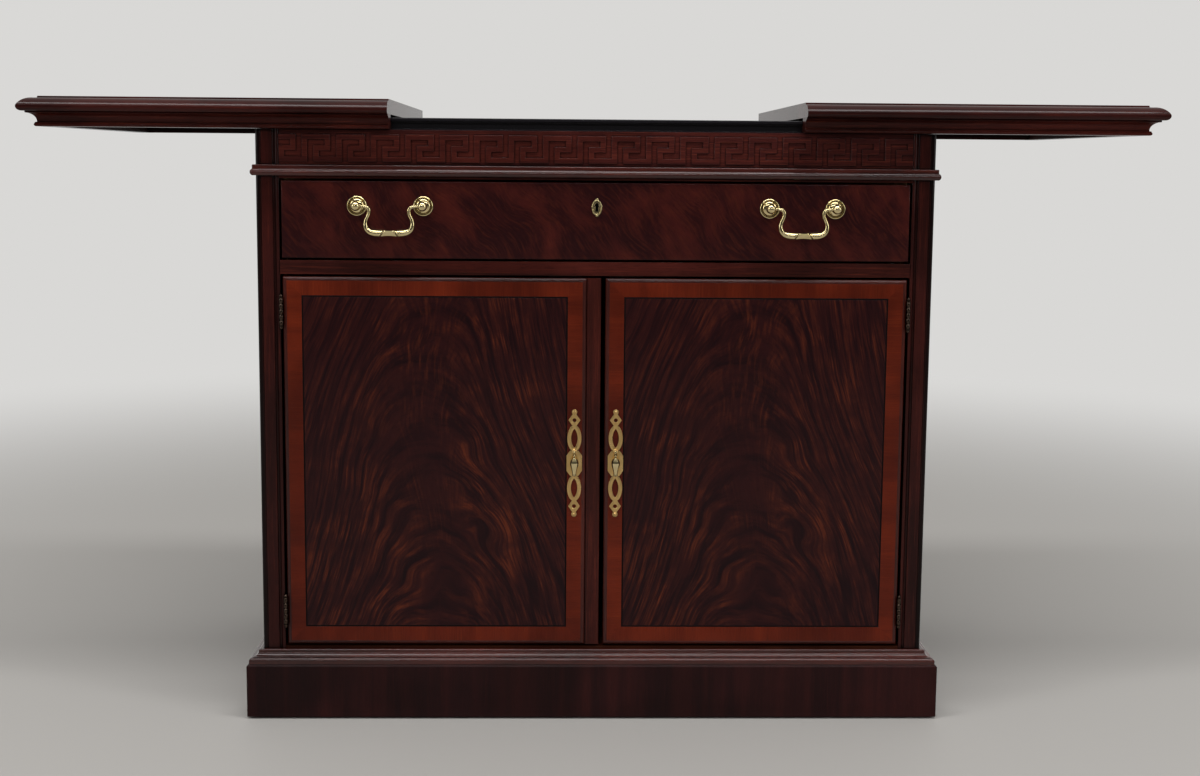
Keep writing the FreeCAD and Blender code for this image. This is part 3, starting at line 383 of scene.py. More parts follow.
# %% Rosettes and posts
rosette_radius = 13.6
rosette_profile = np.vstack([
    fair([(rosette_radius, 0), (rosette_radius, 0.9), (13.3, 1.75), (12.6, 2.4), (12.0, 2.5),
          (11.7, 2.1)], 5),
    fair([(11.7, 2.1), (11.45, 0.9), (10.9, 0.45), (10.2, 0.55), (9.6, 1.3), (8.4, 2.3), (6.6, 3.1),
          (4.2, 3.6), (0.0, 3.7)], 5)])
post_profile = capped(
    fair([(5.0, 1.4), (5.1, 3.9), (4.3, 4.6), (3.4, 6.0), (3.3, 7.3), (3.9, 8.2)], 5),
    fair([(4.5, 8.2), (4.9, 8.8), (4.5, 9.4)], 4),
    fair([(4.1, 9.4), (5.7, 11.2), (6.5, 13.2), (6.6, 15.0), (6.3, 17.0), (5.2, 19.1),
          (3.4, 20.7), (1.6, 21.4), (0, 21.6)], 5))
collar = capped(fair([(2.5, 5.4), (3.0, 6.3), (2.6, 7.2)], 4))
outward, sideways = (0, -1, 0), (1, 0, 0)
discs, posts = [], []
for centre_x in pull_centres:
    for side in (-1, 1):
        foot = np.array((centre_x + side * post_offset, drawer_face, pull_level))
        discs.append(lathe(rosette_profile, foot, outward, sideways, 56))
        discs.append(lathe([(0, 0), (rosette_radius, 0)], foot, outward, sideways, 56))
        posts.append(lathe(post_profile, foot, outward, sideways, 36))
        head = foot - np.array((0, pivot_out, 0))
        posts.append(lathe(collar, head, (-side, 0, 0), (0, 0, 1), 24))
build("pull_rosettes_cast", discs, polished_brass, "drawer", ("pull_rosettes",))

# %% Nuts and shanks
# inside the drawer, a hexagonal nut on each post's shank pulls it tight against the front
nut_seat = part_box("pull_posts")[1].y
shank_length = 31.0
shank = np.vstack([fair([(0, -shank_length), (1.9, -shank_length)], 2),
                   [(1.9, -0.2), (1.6, 0.0), (0, 0)]])
nut = [(0, -6.0), (4.4, -6.0), (5.0, -5.5), (5.0, -2.5), (4.4, -2.0), (0, -2.0)]
for centre_x in pull_centres:
    for side in (-1, 1):
        inside = (centre_x + side * post_offset, nut_seat, pull_level)
        posts.append(lathe(shank, inside, (0, 1, 0), sideways, 16))
        posts.append(lathe(nut, inside, (0, 1, 0), sideways, 6))
build("pull_posts_turned", posts, polished_brass, "drawer", ("pull_posts",))

# %% The bail
bail_half_path = [(-48.4, 0), (-43, 0), (-38, 0), (-33.6, -0.5), (-29.2, -1.6), (-26.9, -4.6),
                  (-26.8, -9.4), (-28.6, -14.2), (-30.6, -18.8), (-31.4, -24.0), (-29.8, -30.0),
                  (-25.4, -34.2), (-18.5, -35.9), (-14.5, -36.0), (-11.5, -36.0), (-8.5, -36.0),
                  (-5.5, -36.0), (0, -36.0)]
bail_half_radius = [1.62, 1.62, 1.62, 1.95, 2.5, 2.6, 2.4, 2.4, 2.5, 2.9, 3.5,
                    4.2, 4.7, 4.6, 4.35, 4.0, 3.6, 3.4]
grip_top = -30.0
cut_place, cut_lean, cut_half_width, cut_depth = 9.3, 2.8, 0.9, 1.3
band_end, band_rise = 2.6, 0.4
waist_sides, waist_swell, waist_blend = 6, 1.1, 2.0


def bail(name, centre_x, body, replaced):
    """A bar along a plane path. At each point of the path the section is a ring whose
    radius comes from the list, turned to stand square to the path. Near the middle the
    ring becomes six-sided: the radius is divided by the cosine of the angle from the
    nearest flat. Two cuts bound it. They lean, so that they lie further apart under the
    grip than over it, and each has a raised band outside it."""
    path = np.array(bail_half_path)
    radius = np.array(bail_half_radius)[:, None]
    line = fair(np.hstack([path, radius]), 9)
    line = np.vstack([line, line[-2::-1] * (-1, 1, 1)])
    x, z, thick = line.T
    slope = np.gradient(line[:, :2], axis=0)
    slope /= np.linalg.norm(slope, axis=1)[:, None]
    angle = np.linspace(0, 2 * np.pi, 36, endpoint=False)
    on_grip = (z < grip_top)[:, None]
    inside = cut_place - np.abs(x)[:, None] - cut_lean * np.cos(angle)
    half_side = np.pi / waist_sides
    from_flat = (angle + half_side) % (2 * half_side) - half_side
    facet = waist_swell * np.cos(half_side) / np.cos(from_flat)
    ring = 1 + on_grip * np.clip(inside / waist_blend, 0, 1) * (facet - 1)
    in_cut = np.abs(inside) < cut_half_width
    on_band = (inside < 0) & (inside > -band_end)
    step = np.select([in_cut, on_band], [-cut_depth, band_rise], 0.0)
    ring = ring * thick[:, None] + on_grip * step
    ring[[0, -1]] = 0
    across = ring * np.cos(angle)
    grid = np.stack([centre_x / MM + x[:, None] - slope[:, 1:] * across,
                     ring * np.sin(angle) + (drawer_face - pivot_out) / MM,
                     pull_level / MM + z[:, None] + slope[:, :1] * across], -1)
    build(name, [(grid * MM, False, True)], polished_brass, body, (replaced,))


bail("left_bail_cast", pull_centres[0], "left_bail", "left_pull_bail")
bail("right_bail_cast", pull_centres[1], "right_bail", "right_pull_bail")

# %% [markdown]
# Flat castings with openings
#
# The keyhole plate and the door plates are flat castings with a filed round on every
# edge. Both are the same left and right of a line, so their outline is one function: the
# half width at each level. An opening is a second function, zero where the plate is
# whole. The front runs from the outer edge over the round, across the flat and down
# into the opening, and the same grid mirrored makes the other half.

# %% A flat casting
def levels_between(stops, samples):
    """Levels that crowd together at each stop, where an outline turns quickly: between
    two stops a and b they are at a + (b - a) (1 - cos t) / 2 for t from 0 to pi."""
    share = (1 - np.cos(np.linspace(0, np.pi, samples))) / 2
    spans = [a + (b - a) * share[:-1] for a, b in zip(stops, stops[1:])]
    return np.concatenate(spans + [[stops[-1]]])


def casting(centre, levels, outer, inner, open_rows, thickness, soften, crown):
    """The grids of a flat casting that faces -Y, in millimetres around its centre. At each
    level x goes from the outer half width over a quarter circle, across the flat, where a
    crown c adds 4 c s (1 - s) at a share s of the way, and over a second quarter circle
    into the opening. A wall in the opening and a flat back close this half, and the other
    half is its mirror image. Rows of wall are kept only where the casting is open."""
    quarter = np.linspace(0, np.pi / 2, 5)
    room = outer - inner
    out_round = np.minimum(soften, room * 0.45)[:, None]
    in_round = out_round * open_rows[:, None]
    flat = np.linspace(0, 1, 7)[None, 1:-1]
    start_x = outer[:, None] - out_round
    end_x = inner[:, None] + in_round
    flat_x = start_x + (end_x - start_x) * flat
    flat_y = thickness + crown * 4 * flat * (1 - flat) * np.ones_like(flat_x)
    lip_x = start_x + out_round * np.cos(quarter)
    lip_y = thickness - out_round * (1 - np.sin(quarter))
    bore_x = end_x - in_round * np.sin(quarter)
    bore_y = thickness - in_round * (1 - np.cos(quarter))
    front_x = np.hstack([outer[:, None], lip_x, flat_x, bore_x])
    front_y = np.hstack([0 * outer[:, None], lip_y, flat_y, bore_y])
    wall_x = np.repeat(inner[:, None], 2, 1)
    wall_y = np.hstack([bore_y[:, -1:], 0 * inner[:, None]])
    back_x = np.stack([inner, outer], 1)
    grids, keeps = [], []
    for side in (-1, 1):
        for x, y in ((front_x, front_y), (wall_x, wall_y), (back_x, 0 * back_x)):
            z = np.repeat(levels[:, None], x.shape[1], 1)
            grid = np.stack([side * x, -y, z], -1) * MM + centre
            grids.append((grid, False, False))
            keeps.append(None)
        keeps[-2] = open_rows[:-1] & open_rows[1:]
    return grids, keeps


def soft_maximum(widths):
    """The largest of several half widths, with the inside corners slightly filled:
    the eighth root of the sum of eighth powers."""
    stack = np.clip(np.array(widths), 0, None)
    return (stack ** 8).sum(0) ** 0.125


def circle_width(z, level, radius):
    """The half width of a circle: the root of its radius squared less its rise squared."""
    return np.sqrt(np.clip(radius ** 2 - (z - level) ** 2, 0, None))

# %% The keyhole plate
hole_radius, hole_rise, slot_top, slot_foot, foot_level = 3.0, 2.8, 1.4, 2.3, -5.6
oval_across, oval_up, knob_level, knob_radius = 7.0, 10.8, 10.7, 2.0
knob_start, knob_end = 10.2, knob_level + knob_radius
plate_stops = [-knob_end, -knob_start, foot_level, 0.1, hole_rise, hole_rise + hole_radius,
               knob_start, knob_end]
z = levels_between(plate_stops, 14)
oval = oval_across * np.sqrt(np.clip(1 - (z / oval_up) ** 2, 0, None))
knobs = circle_width(np.abs(z), knob_level, knob_radius)
outer = soft_maximum([oval, knobs])
outer[[0, -1]] = 0
just = 1e-9
in_slot = (z <= hole_rise) & (z >= foot_level - just)
down_slot = (hole_rise - z) / (hole_rise - foot_level)
slot_width = (slot_top + (slot_foot - slot_top) * down_slot) * in_slot
inner = np.maximum(circle_width(z, hole_rise, hole_radius), slot_width)
hole_rows = (z <= hole_rise + hole_radius + just) & (z >= foot_level - just)
keyhole_centre = np.array((0.0, drawer_face, pull_level))
grids, keeps = casting(keyhole_centre, z, outer, inner, hole_rows, 1.2, 0.5, 0.0)
# a raised bead round the oval, and a domed pin at each end
bead_radius, bead_across, bead_up, bead_seat = 0.75, 5.9, 9.6, 1.1
turn_by = np.linspace(0, 2 * np.pi, 64, endpoint=False)
bead_angle = np.linspace(0, np.pi, 7)
bead_reach = bead_radius * np.cos(bead_angle)
bead_rise = bead_seat + bead_radius * np.sin(bead_angle)
bead_x = (bead_across + bead_reach)[:, None] * np.cos(turn_by)
bead_z = (bead_up + bead_reach)[:, None] * np.sin(turn_by)
bead = np.stack([bead_x, -bead_rise[:, None] * np.ones_like(bead_x), bead_z], -1)
grids.append((bead * MM + keyhole_centre, True, True))
dome = capped(fair([(1.15, 0.9), (1.1, 1.6), (0.75, 2.1), (0, 2.3)], 4))
pin_level = 10.9 * MM
for side in (-1, 1):
    seat = keyhole_centre + (0, 0, side * pin_level)
    grids.append(lathe(dome, seat, outward, sideways, 20))
keeps += [None] * 3
build("keyhole_plate_cast", grids, polished_brass, "drawer",
      ("keyhole_escutcheon",), keep=keeps)

# %% [markdown]
# The door pulls
#
# Each door has a pierced backplate: two long rings with pointed openings, a shaped
# block between them, and a small lozenge with a round hole and a ball at each end. A
# faceted pear drop hangs in front from a forked stud, and swings on its pin.

# %% The pierced plate's outline
# levels and half widths from the plate's middle: block, long ring, lozenge with its eye, tip
block_end, block_shoulder, block_half, block_taper = 17.6, 10.5, 10.6, 5.1
ring_level, ring_up, ring_half, opening_up, opening_half = 34.65, 18.3, 9.7, 13.3, 4.4
eye_level, eye_radius, eye_hole, lozenge_half, lozenge_up = 60.0, 5.4, 2.7, 8.0, 10.6
tip_level, tip_radius, neck_half, plate_end = 71.3, 3.65, 2.3, 75.0
# the levels where the lozenge leaves the ring and the tip leaves the lozenge
ring_notch, tip_notch = 52.0, 67.8
half_stops = [0.0, block_shoulder, block_end, ring_level - opening_up, ring_level,
              ring_level + opening_up, ring_notch, eye_level - eye_hole, eye_level,
              eye_level + eye_hole, tip_notch, plate_end]
plate_half = np.array(levels_between(half_stops, 11))
z = np.concatenate([-plate_half[:0:-1], plate_half])
level = np.abs(z)
down_taper = (level - block_shoulder) * block_taper / (block_end - block_shoulder)
block = np.where(level < block_shoulder, block_half, block_half - down_taper)
block = np.where(level > block_end, 0, block)
ring_width = ring_half * np.sqrt(np.clip(1 - ((level - ring_level) / ring_up) ** 2, 0, None))
lozenge = lozenge_half * np.clip(1 - np.abs(level - eye_level) / lozenge_up, 0, 1) ** 0.85
eye_width = circle_width(level, eye_level, eye_radius)
tip_width = circle_width(level, tip_level, tip_radius)
neck_width = neck_half * (level < tip_level - 0.3)
outer = soft_maximum([block, ring_width, lozenge, eye_width, tip_width, neck_width])
outer[[0, -1]] = 0
pointed = opening_half * np.clip(1 - ((level - ring_level) / opening_up) ** 2, 0, 1) ** 0.8
inner = np.maximum(pointed, circle_width(level, eye_level, eye_hole))
in_ring = np.abs(level - ring_level) <= opening_up + just
in_eye = np.abs(level - eye_level) <= eye_hole + just
open_rows = in_ring | in_eye
print("plate", 2 * plate_end, "mm high with", int(open_rows.sum()), "open rows")

# %% Pins, studs and drops
plate_level = middle_of("left_door_pull_plate").z
door_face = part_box("left_door_veneer")[0].y
pivot = {side: middle_of(side + "_door_drop") for side in ("left", "right")}
pivot_y = door_face - 9.6 * MM
pivot_z = plate_level + 16.875 * MM
pear_profile = capped(
    fair([(1.0, 2.6), (1.9, 3.4), (2.3, 4.4), (1.9, 5.4), (1.3, 6.1)], 4),
    fair([(1.3, 6.1), (1.7, 7.3), (3.4, 9.6), (5.2, 12.4), (5.8, 15.2), (5.3, 18.6),
          (4.0, 22.8), (3.0, 27.0), (2.5, 30.6)], 6),
    fair([(2.5, 30.6), (2.9, 31.5), (2.3, 32.6)], 3), [(1.3, 33.5), (0, 34.0)])
pin = capped(fair([(2.6, 1.0), (2.5, 2.1), (1.7, 3.1), (0, 3.5)], 4))
stem = capped(fair([(3.6, 1.0), (3.4, 2.2), (2.3, 2.9), (1.7, 4.4), (1.8, 6.6), (2.4, 7.2)], 4))
cheek = capped(fair([(3.0, 1.1), (2.75, 1.9), (2.0, 2.7), (0, 3.2)], 5))
rivet = [(0, -1.3), (0.68, -1.3), (0.68, 1.3), (0, 1.3)]
eye = [(0, -0.8), (1.9, -0.8), (2.15, -0.5), (2.15, 0.5), (1.9, 0.8), (0, 0.8)]
strap = [(0, 0.5), (0.95, 0.5), (1.0, 3.2), (0, 3.2)]
down = (0, 0, -1)

# %% The door pulls
def door_pull(side):
    """One plate with its ball pins and forked stud, and the drop on its own body."""
    x = pivot[side].x
    centre = np.array((x, door_face, plate_level))
    grids, keeps = casting(centre, z, outer, inner, open_rows, 1.5, 0.55, 0.35)
    for end in (-1, 1):
        grids.append(lathe(pin, centre + (0, 0, end * tip_level * MM), outward, sideways, 24))
    grids.append(lathe(stem, (x, door_face, pivot_z), outward, sideways, 24))
    hinge_point = (x, pivot_y, pivot_z)
    for end in (-1, 1):
        grids.append(lathe(cheek, hinge_point, (end, 0, 0), (0, 0, 1), 24))
    grids.append(lathe(rivet, hinge_point, sideways, (0, 0, 1), 16))
    keeps += [None] * 6
    build(side + "_door_plate_cast", grids, satin_brass, side + "_door",
          (side + "_door_pull_plate",), keep=keeps)
    drop = [lathe(eye, hinge_point, sideways, (0, 0, 1), 24),
            lathe(pear_profile, hinge_point, down, sideways, 48, 8, 0.075),
            lathe(strap, hinge_point, down, sideways, 16)]
    build(side + "_drop_cast", drop, polished_brass, side + "_drop",
          (side + "_door_drop",))


for side in ("left", "right"):
    door_pull(side)

# %% [markdown]
# Mahogany under lacquer
#
# The frame is solid and veneered mahogany, stained a dark red brown, glazed and sprayed
# with gloss lacquer. Under the lacquer the eye finds four things: broad ribbons where
# the grain changes direction, fine fibres, short dark pores, and the glaze, which lies
# unevenly and gathers in the quirks. Painted shade is added in the quirks and hollows
# too, where ambient occlusion finds them, and on the posts' outer corner beads. Each of
# the first three is a noise stretched along the grain. Real pores are a third of a
# millimetre wide, too fine to show in the picture, so they are drawn nearly a millimetre
# wide. The lacquer is the shader's coat: a clear film that hardly reflects when it is
# faced and mirrors the room at a low angle. Where it was sprayed heavily, as on the
# mouldings, its IOR is that of real lacquer, and elsewhere it is lower, as on a film
# rubbed down. The Bevel node softens every arris for the light by half a millimetre, as
# sanding does.

# %% Grain
def grain(tree, vector, along, fine, length, detail=3.0, distortion=0.0):
    """Noise whose cells are some millimetres fine across the grain and long along it.
    Along holds the axes, 0 to 2, that the grain may run in."""
    scale = [1 / ((length if axis in along else fine) * MM) for axis in range(3)]
    stretched = add(tree, "Mapping", None, {"Vector": vector, "Scale": scale})
    return add(tree, "TexNoise", None, {"Vector": stretched, "Scale": 1.0, "Detail": detail,
                                        "Roughness": 0.55, "Distortion": distortion})

# %% The film of lacquer
def lacquered(tree, output, shade, fibre, rough, coat, coat_rough, arris_radius=0.5,
              film_ior=1.22):
    """The stained wood under a clear film. The film flows out over the grain, so the
    bump of the fibres stays below it, and only a faint ripple is left on top."""
    arris = add(tree, "Bevel", {"samples": 4}, {"Radius": arris_radius * MM})
    under = add(tree, "Bump", None, {"Height": fibre, "Strength": 0.4, "Distance": 0.06 * MM,
                                     "Normal": arris})
    ripple = add(tree, "TexNoise", None, {"Vector": add(tree, "TexCoord").outputs["Object"],
                                          "Scale": 1 / (7 * MM), "Detail": 1.0})
    film = add(tree, "Bump", None, {"Height": ripple, "Strength": 0.05, "Distance": 0.02 * MM,
                                    "Normal": arris})
    shader = add(tree, "BsdfPrincipled", None,
                 {"Base Color": shade, "Roughness": rough, "Specular IOR Level": 0.04,
                  "Coat Weight": coat, "Coat Roughness": coat_rough, "Coat IOR": film_ior,
                  "Normal": under, "Coat Normal": film})
    finish_with(tree, output, shader)

# %% Stained mahogany
def mahogany(name, along, cards, vector_of=None, ribbon=24, fibre=2.2, lines=0.5, rough=0.45,
             coat=0.85, coat_rough=0.08, hollows=0.0, arris_radius=0.5, uneven=0.5,
             film_ior=1.22, pore_card="#0d0405", glaze_and_shade_card="#1c0f0e", painted_shade_bead=None):
    """Stained mahogany with the grain along some axes. Cards are the dark, middle and
    light colours, and lines is how strongly the fibres show. The vector may come from a
    function that turns it at a mitre. Glaze and painted shade darken hollows within some
    millimetres, and painted shade darkens a corner bead that lies beyond a distance from
    the middle and in front of a depth."""
    material, tree, output = start(name)
    where = add(tree, "TexCoord").outputs["Object"]
    vector = vector_of(tree, where) if vector_of else where
    ribbons = grain(tree, vector, along, ribbon, 620, 3.0, 0.4)
    fibres = grain(tree, vector, along, fibre, 70, 4.0)
    pores = grain(tree, vector, along, 0.9, 13, 1.0)
    glaze = add(tree, "TexNoise", None, {"Vector": where, "Scale": 1 / (150 * MM), "Detail": 3.0})
    ribbons = add(tree, "MapRange", eased, (ribbons, 0.36, 0.64))
    shade = add(tree, "Mix", mixed, (ribbons, cards[0], cards[1]))
    lit = add(tree, "MapRange", eased, (fibres, 0.5, 0.74, 0.0, lines))
    shade = add(tree, "Mix", mixed, (lit, shade, cards[2]))
    pores = add(tree, "MapRange", eased, (pores, 0.56, 0.68, 0.0, lines * 0.8))
    shade = add(tree, "Mix", mixed, (pores, shade, pore_card))
    glaze = add(tree, "MapRange", eased, (glaze, 0.62, 0.38, 0.0, uneven))
    shade = add(tree, "Mix", multiplied, (glaze, shade, "#8a7470"))
    # glaze gathers in the hollows, and painted shade is added there too: ambient occlusion darkens
    # the colour towards the card
    if hollows:
        open_sky = add(tree, "AmbientOcclusion", {"samples": 6}, {"Distance": hollows * MM})
        covered = add(tree, "MapRange", eased, (open_sky.outputs["AO"], 0.92, 0.5, 0.0, 0.95))
        shade = add(tree, "Mix", multiplied, (covered, shade, glaze_and_shade_card))
    # painted shade: the outer corner bead faces sideways, and its colour is darkened as if it lay
    # in shade
    if painted_shade_bead:
        from_middle, depth = painted_shade_bead
        place = add(tree, "SeparateXYZ", None, (where,)).outputs
        away = add(tree, "Math", {"operation": "ABSOLUTE"}, (place["X"],))
        outer = add(tree, "MapRange", eased, (away, from_middle - 0.5 * MM,
                                              from_middle + 0.5 * MM, 0.0, 0.92))
        on_bead = add(tree, "MapRange", eased, (place["Y"], depth + 0.5 * MM, depth - 0.5 * MM))
        outer = add(tree, "Math", {"operation": "MULTIPLY"}, (outer, on_bead))
        shade = add(tree, "Mix", multiplied, (outer, shade, "#463a3c"))
    lacquered(tree, output, shade, fibres, rough, coat, coat_rough, arris_radius, film_ior)
    return material

# %% The mahogany finishes
# The posts and leaves are stained darkest, and the rails, mouldings and strip a little
# redder. Each card set is the dark, middle and light colour of the grain.
frame_cards = ("#2a0f0d", "#3f1713", "#5a251b")
rail_cards = ("#33130f", "#4d1d17", "#6b2d20")
level_mahogany = mahogany("stained_mahogany_level_grain", (0, 1), rail_cards, hollows=3.0)
glossy_mouldings = mahogany("stained_mahogany_mouldings", (0, 1), rail_cards, hollows=3.0,
                            coat=1.0, coat_rough=0.04, film_ior=1.46)
post_low, post_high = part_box("front_posts")
# the posts' flutes are darkened with glaze and painted shade, and their outer corner beads with
# painted shade
upright_mahogany = mahogany("stained_mahogany_upright_grain", (2,), frame_cards, hollows=7.0,
                            glaze_and_shade_card="#120808",
                            painted_shade_bead=(post_high.x - 6 * MM, post_low.y + 6 * MM))
astragal_mahogany = mahogany("stained_mahogany_astragal", (2,), rail_cards, hollows=3.0)
leaf_edges = mahogany("stained_mahogany_leaf_edges", (0, 1), rail_cards, hollows=4.0, coat=0.45,
                      coat_rough=0.05)
# the frieze is redder, and glaze and painted shade darken the corners of the key nearly to black
frieze_mahogany = mahogany("glazed_mahogany_frieze", (0,), ("#3c1816", "#57241d", "#783728"),
                           ribbon=14, fibre=1.6, hollows=3.2, arris_radius=0.8,
                           glaze_and_shade_card="#0a0404")
plinth_mahogany = mahogany("stained_mahogany_plinth", (2,), ("#240c0d", "#341312", "#441a16"),
                           ribbon=34, lines=0.3)
panel_mahogany = mahogany("stained_mahogany_side_veneer", (2,), ("#260e0d", "#391613", "#4f2119"),
                          ribbon=44, coat=0.5)
# inside, the stain is browner and the thin satin film shines softly, with no mirror
inside_cards = ("#35180f", "#472213", "#5c301c")
inside_mahogany = mahogany("satin_mahogany_inside", (0,), inside_cards, ribbon=36, rough=0.5,
                           coat=0.25, coat_rough=0.3)
inside_upright = mahogany("satin_mahogany_back", (2,), inside_cards, ribbon=60, rough=0.5,
                          coat=0.25, coat_rough=0.3)

# %% [markdown]
# Mitred strips
#
# Round each door the wood changes direction at every corner: the moulded edge runs along
# each side, and the cross-banding lies square to it. The pieces meet at 45 degrees. One
# material can do all four, if the vector's X and Z change places where the nearest edge
# is an upright one.

# %% Grain that turns at a mitre
def turned_at_mitres(node_name, first, second, front_only=0.0):
    """A function that swaps two axes of a vector where the point is nearer to the edges
    across the first axis than to those across the second. Behind a front zone of some
    millimetres it swaps them everywhere, because the back is one upright sheet."""
    low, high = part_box(node_name)
    middle = (low + high) / 2
    half = (high - low) / 2

    def vector_of(tree, vector):
        local = add(tree, "VectorMath", {"operation": "SUBTRACT"}, (vector, tuple(middle)))
        away = add(tree, "VectorMath", {"operation": "ABSOLUTE"}, (local,))
        left = add(tree, "VectorMath", {"operation": "SUBTRACT"}, (tuple(half), away))
        edge = add(tree, "SeparateXYZ", None, (left,)).outputs
        swap = add(tree, "Math", {"operation": "LESS_THAN"}, (edge[first], edge[second]))
        straight = add(tree, "SeparateXYZ", None, (vector,)).outputs
        if front_only:
            behind = add(tree, "Math", {"operation": "GREATER_THAN"},
                         (straight["Y"], low.y + front_only * MM))
            swap = add(tree, "Math", {"operation": "MAXIMUM"}, (swap, behind))
        order = [0, 1, 2]
        order[first], order[second] = second, first
        crossed = add(tree, "CombineXYZ", None, [straight[axis] for axis in order])
        return add(tree, "Mix", {"data_type": "VECTOR"}, (swap, vector, crossed))
    return vector_of


band_cards = ("#5c1d0d", "#6f2510", "#8a3a16")
edge_cards = ("#35130f", "#4c1c14", "#64291d")
edge_finish, band_finish, slab_finish = {}, {}, {}
for side in ("left", "right"):
    edge_finish[side] = mahogany("mahogany_door_edge_" + side, (0,), edge_cards,
                                 turned_at_mitres(side + "_door_core", 0, 2, 3.0),
                                 arris_radius=2.6, film_ior=1.36)
    band_finish[side] = mahogany("cross_banded_mahogany_" + side, (2,), band_cards,
                                 turned_at_mitres(side + "_door_crossband", 0, 2), ribbon=42,
                                 fibre=1.6, lines=0.22)
    slab_finish[side] = mahogany("mahogany_leaf_top_" + side, (0,), frame_cards, ribbon=38,
                                 coat=0.65, film_ior=1.27)

# %% [markdown]
# Crotch mahogany
#
# The door panels are veneer cut where a trunk forks. The fibres of the two limbs press
# together there: long steep streaks run up both sides and bend over in arches, fine
# feathers stand in the dark middle, and eddies form where the arches break. Noise alone
# makes clouds, so the figure needs a direction at each point. It is worked out on a fine
# grid: one number says which streak a point lies in, and another how far along it. A
# shader then stretches its noise over those two numbers instead of over X and Z.

# %% The figure of the crotch veneer
def waves(x, z, length, count, dice):
    """A smooth random field: the sum of plane waves with random directions, with lengths
    within a third of the given one, divided by the root of their number."""
    heading, phase = dice.uniform(0, 2 * np.pi, (2, count, 1))
    period = length * dice.uniform(0.7, 1.35, (count, 1))
    run = x[None] * np.cos(heading) + z[None] * np.sin(heading)
    return np.sin(2 * np.pi * run / period + phase).sum(0) / np.sqrt(count)


def humps(u, v, patches, level=0.0):
    """A level with soft round patches on it. Each patch is its height, the u and v of its
    centre, and its widths along u and v."""
    return sum((height * np.exp(-((u - at_u) / width_u) ** 2 - ((v - at_v) / width_v) ** 2)
                for height, at_u, at_v, width_u, width_v in patches), level)


def crotch_figure(x, z, half_width, height):
    """The figure at points of a panel, x from its middle and z from its foot in millimetres.
    A streak is a level line of z + s w ln(1 + e^((a - c) / w)), where a is the distance from a
    wandering axis: flat within c of it, and s times as steep as level further out. Random
    waves bend the lines, most of all in the eddies. A feather is a level line of the
    distance from the axis, shrunk by a factor e for each 260 mm of height, so that the
    feathers lean in towards the foot. A share of light and dark patches is added last."""
    dice = np.random.default_rng(23)
    u, v = x / half_width, z / height
    axis = half_width * (0.06 * np.sin(6.0 * v + 0.6) - 0.02)
    a = np.abs(x - axis)
    bend_at, soft, steep = 78 - 16 * v ** 2, 30 - 12 * v, 3.7 + 0.9 * v
    arch = steep * soft * np.logaddexp(0, (a - bend_at) / soft)
    stir = humps(u, v, [(6.0, 0, 0.5, 0.4, 0.6), (11.0, 0.28, 0.46, 0.26, 0.12),
                        (9.0, 0.46, 0.30, 0.22, 0.10), (9.0, -0.48, 0.42, 0.2, 0.12),
                        (7.0, 0.1, 0.06, 0.3, 0.1)], 3.0)
    bend = 1.0 * waves(x, z, 92, 9, dice) + 0.2 * waves(x, z, 42, 11, dice)
    streak = z + arch + stir * bend + 3.0 * waves(x, z, 210, 5, dice)
    along = np.sign(x - axis) * (a + 0.95 * arch) + 0.5 * stir * waves(x, z, 60, 7, dice)
    feather = (x - axis) * np.exp(-(z - height / 2) / 260) + 1.6 * waves(x, z, 70, 7, dice)
    in_plume = (np.exp(-(a / (20 + 22 * v)) ** 2) * np.clip((v - 0.22) / 0.25, 0, 1) ** 0.8
                + humps(u, v, [(0.25, 0, 0.1, 0.12, 0.2)]))
    light = humps(u, v, [(0.32, 0.34, 0.46, 0.3, 0.16), (0.28, 0.5, 0.28, 0.26, 0.12),
                         (0.30, -0.6, 0.12, 0.4, 0.2), (0.22, 0.45, 0.78, 0.25, 0.25),
                         (0.25, -0.4, 0.86, 0.2, 0.16), (0.2, -0.46, 0.42, 0.16, 0.1)])
    dark = humps(u, v, [(0.34, -0.3, 0.72, 0.14, 0.2), (0.36, -0.1, 0.5, 0.2, 0.15),
                        (0.25, -0.8, 0.9, 0.3, 0.2), (0.3, 0.0, 0.1, 0.16, 0.09),
                        (0.22, 0.0, 0.3, 0.09, 0.4)])
    shade = 0.50 + light - dark + 0.10 * waves(x, z, 110, 7, dice)
    return (streak, along, np.clip(shade, 0.08, 1.2)), (feather, z, np.clip(in_plume, 0, 1))

# %% The door panels on a fine grid
def veneer_panel(side, cell=2.4):
    """A thin board with a fine grid on its face, and the figure's numbers on its points."""
    low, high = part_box(side + "_door_veneer")
    across = np.linspace(low.x, high.x, int((high.x - low.x) / (cell * MM)) + 1)
    up = np.linspace(low.z, high.z, int((high.z - low.z) / (cell * MM)) + 1)
    x, z = np.meshgrid(across, up)
    face = np.stack([x, np.full_like(x, low.y), z], -1)
    rim = np.concatenate([face[0], face[1:, -1], face[-1, -2::-1], face[-2:0:-1, 0]])
    rear = rim + (0, high.y - low.y, 0)
    middle = np.repeat([[(low.x + high.x) / 2, high.y, (low.z + high.z) / 2]], len(rim), 0)
    grids = [(face, False, False), (np.stack([rim, rear, middle]), False, True)]
    made = build(side + "_door_crotch_veneer", grids, crotch, side + "_door",
                 (side + "_door_veneer",))
    place = np.zeros(len(made.data.vertices) * 3, np.float32)
    made.data.vertices.foreach_get("co", place)
    place = place.reshape(-1, 3).astype(float)
    half, height = (high.x - low.x) / 2 / MM, (high.z - low.z) / MM
    numbers = crotch_figure((place[:, 0] - (low.x + high.x) / 2) / MM,
                            (place[:, 2] - low.z) / MM, half, height)
    for name, values in zip(("arches", "feathers"), numbers):
        layer = made.data.attributes.new(name, "FLOAT_VECTOR", "POINT")
        layer.data.foreach_set("vector", np.stack(values, 1).astype(np.float32).ravel())
    print("streaks from", round(numbers[0][0].min()), "to", round(numbers[0][0].max()), "mm")

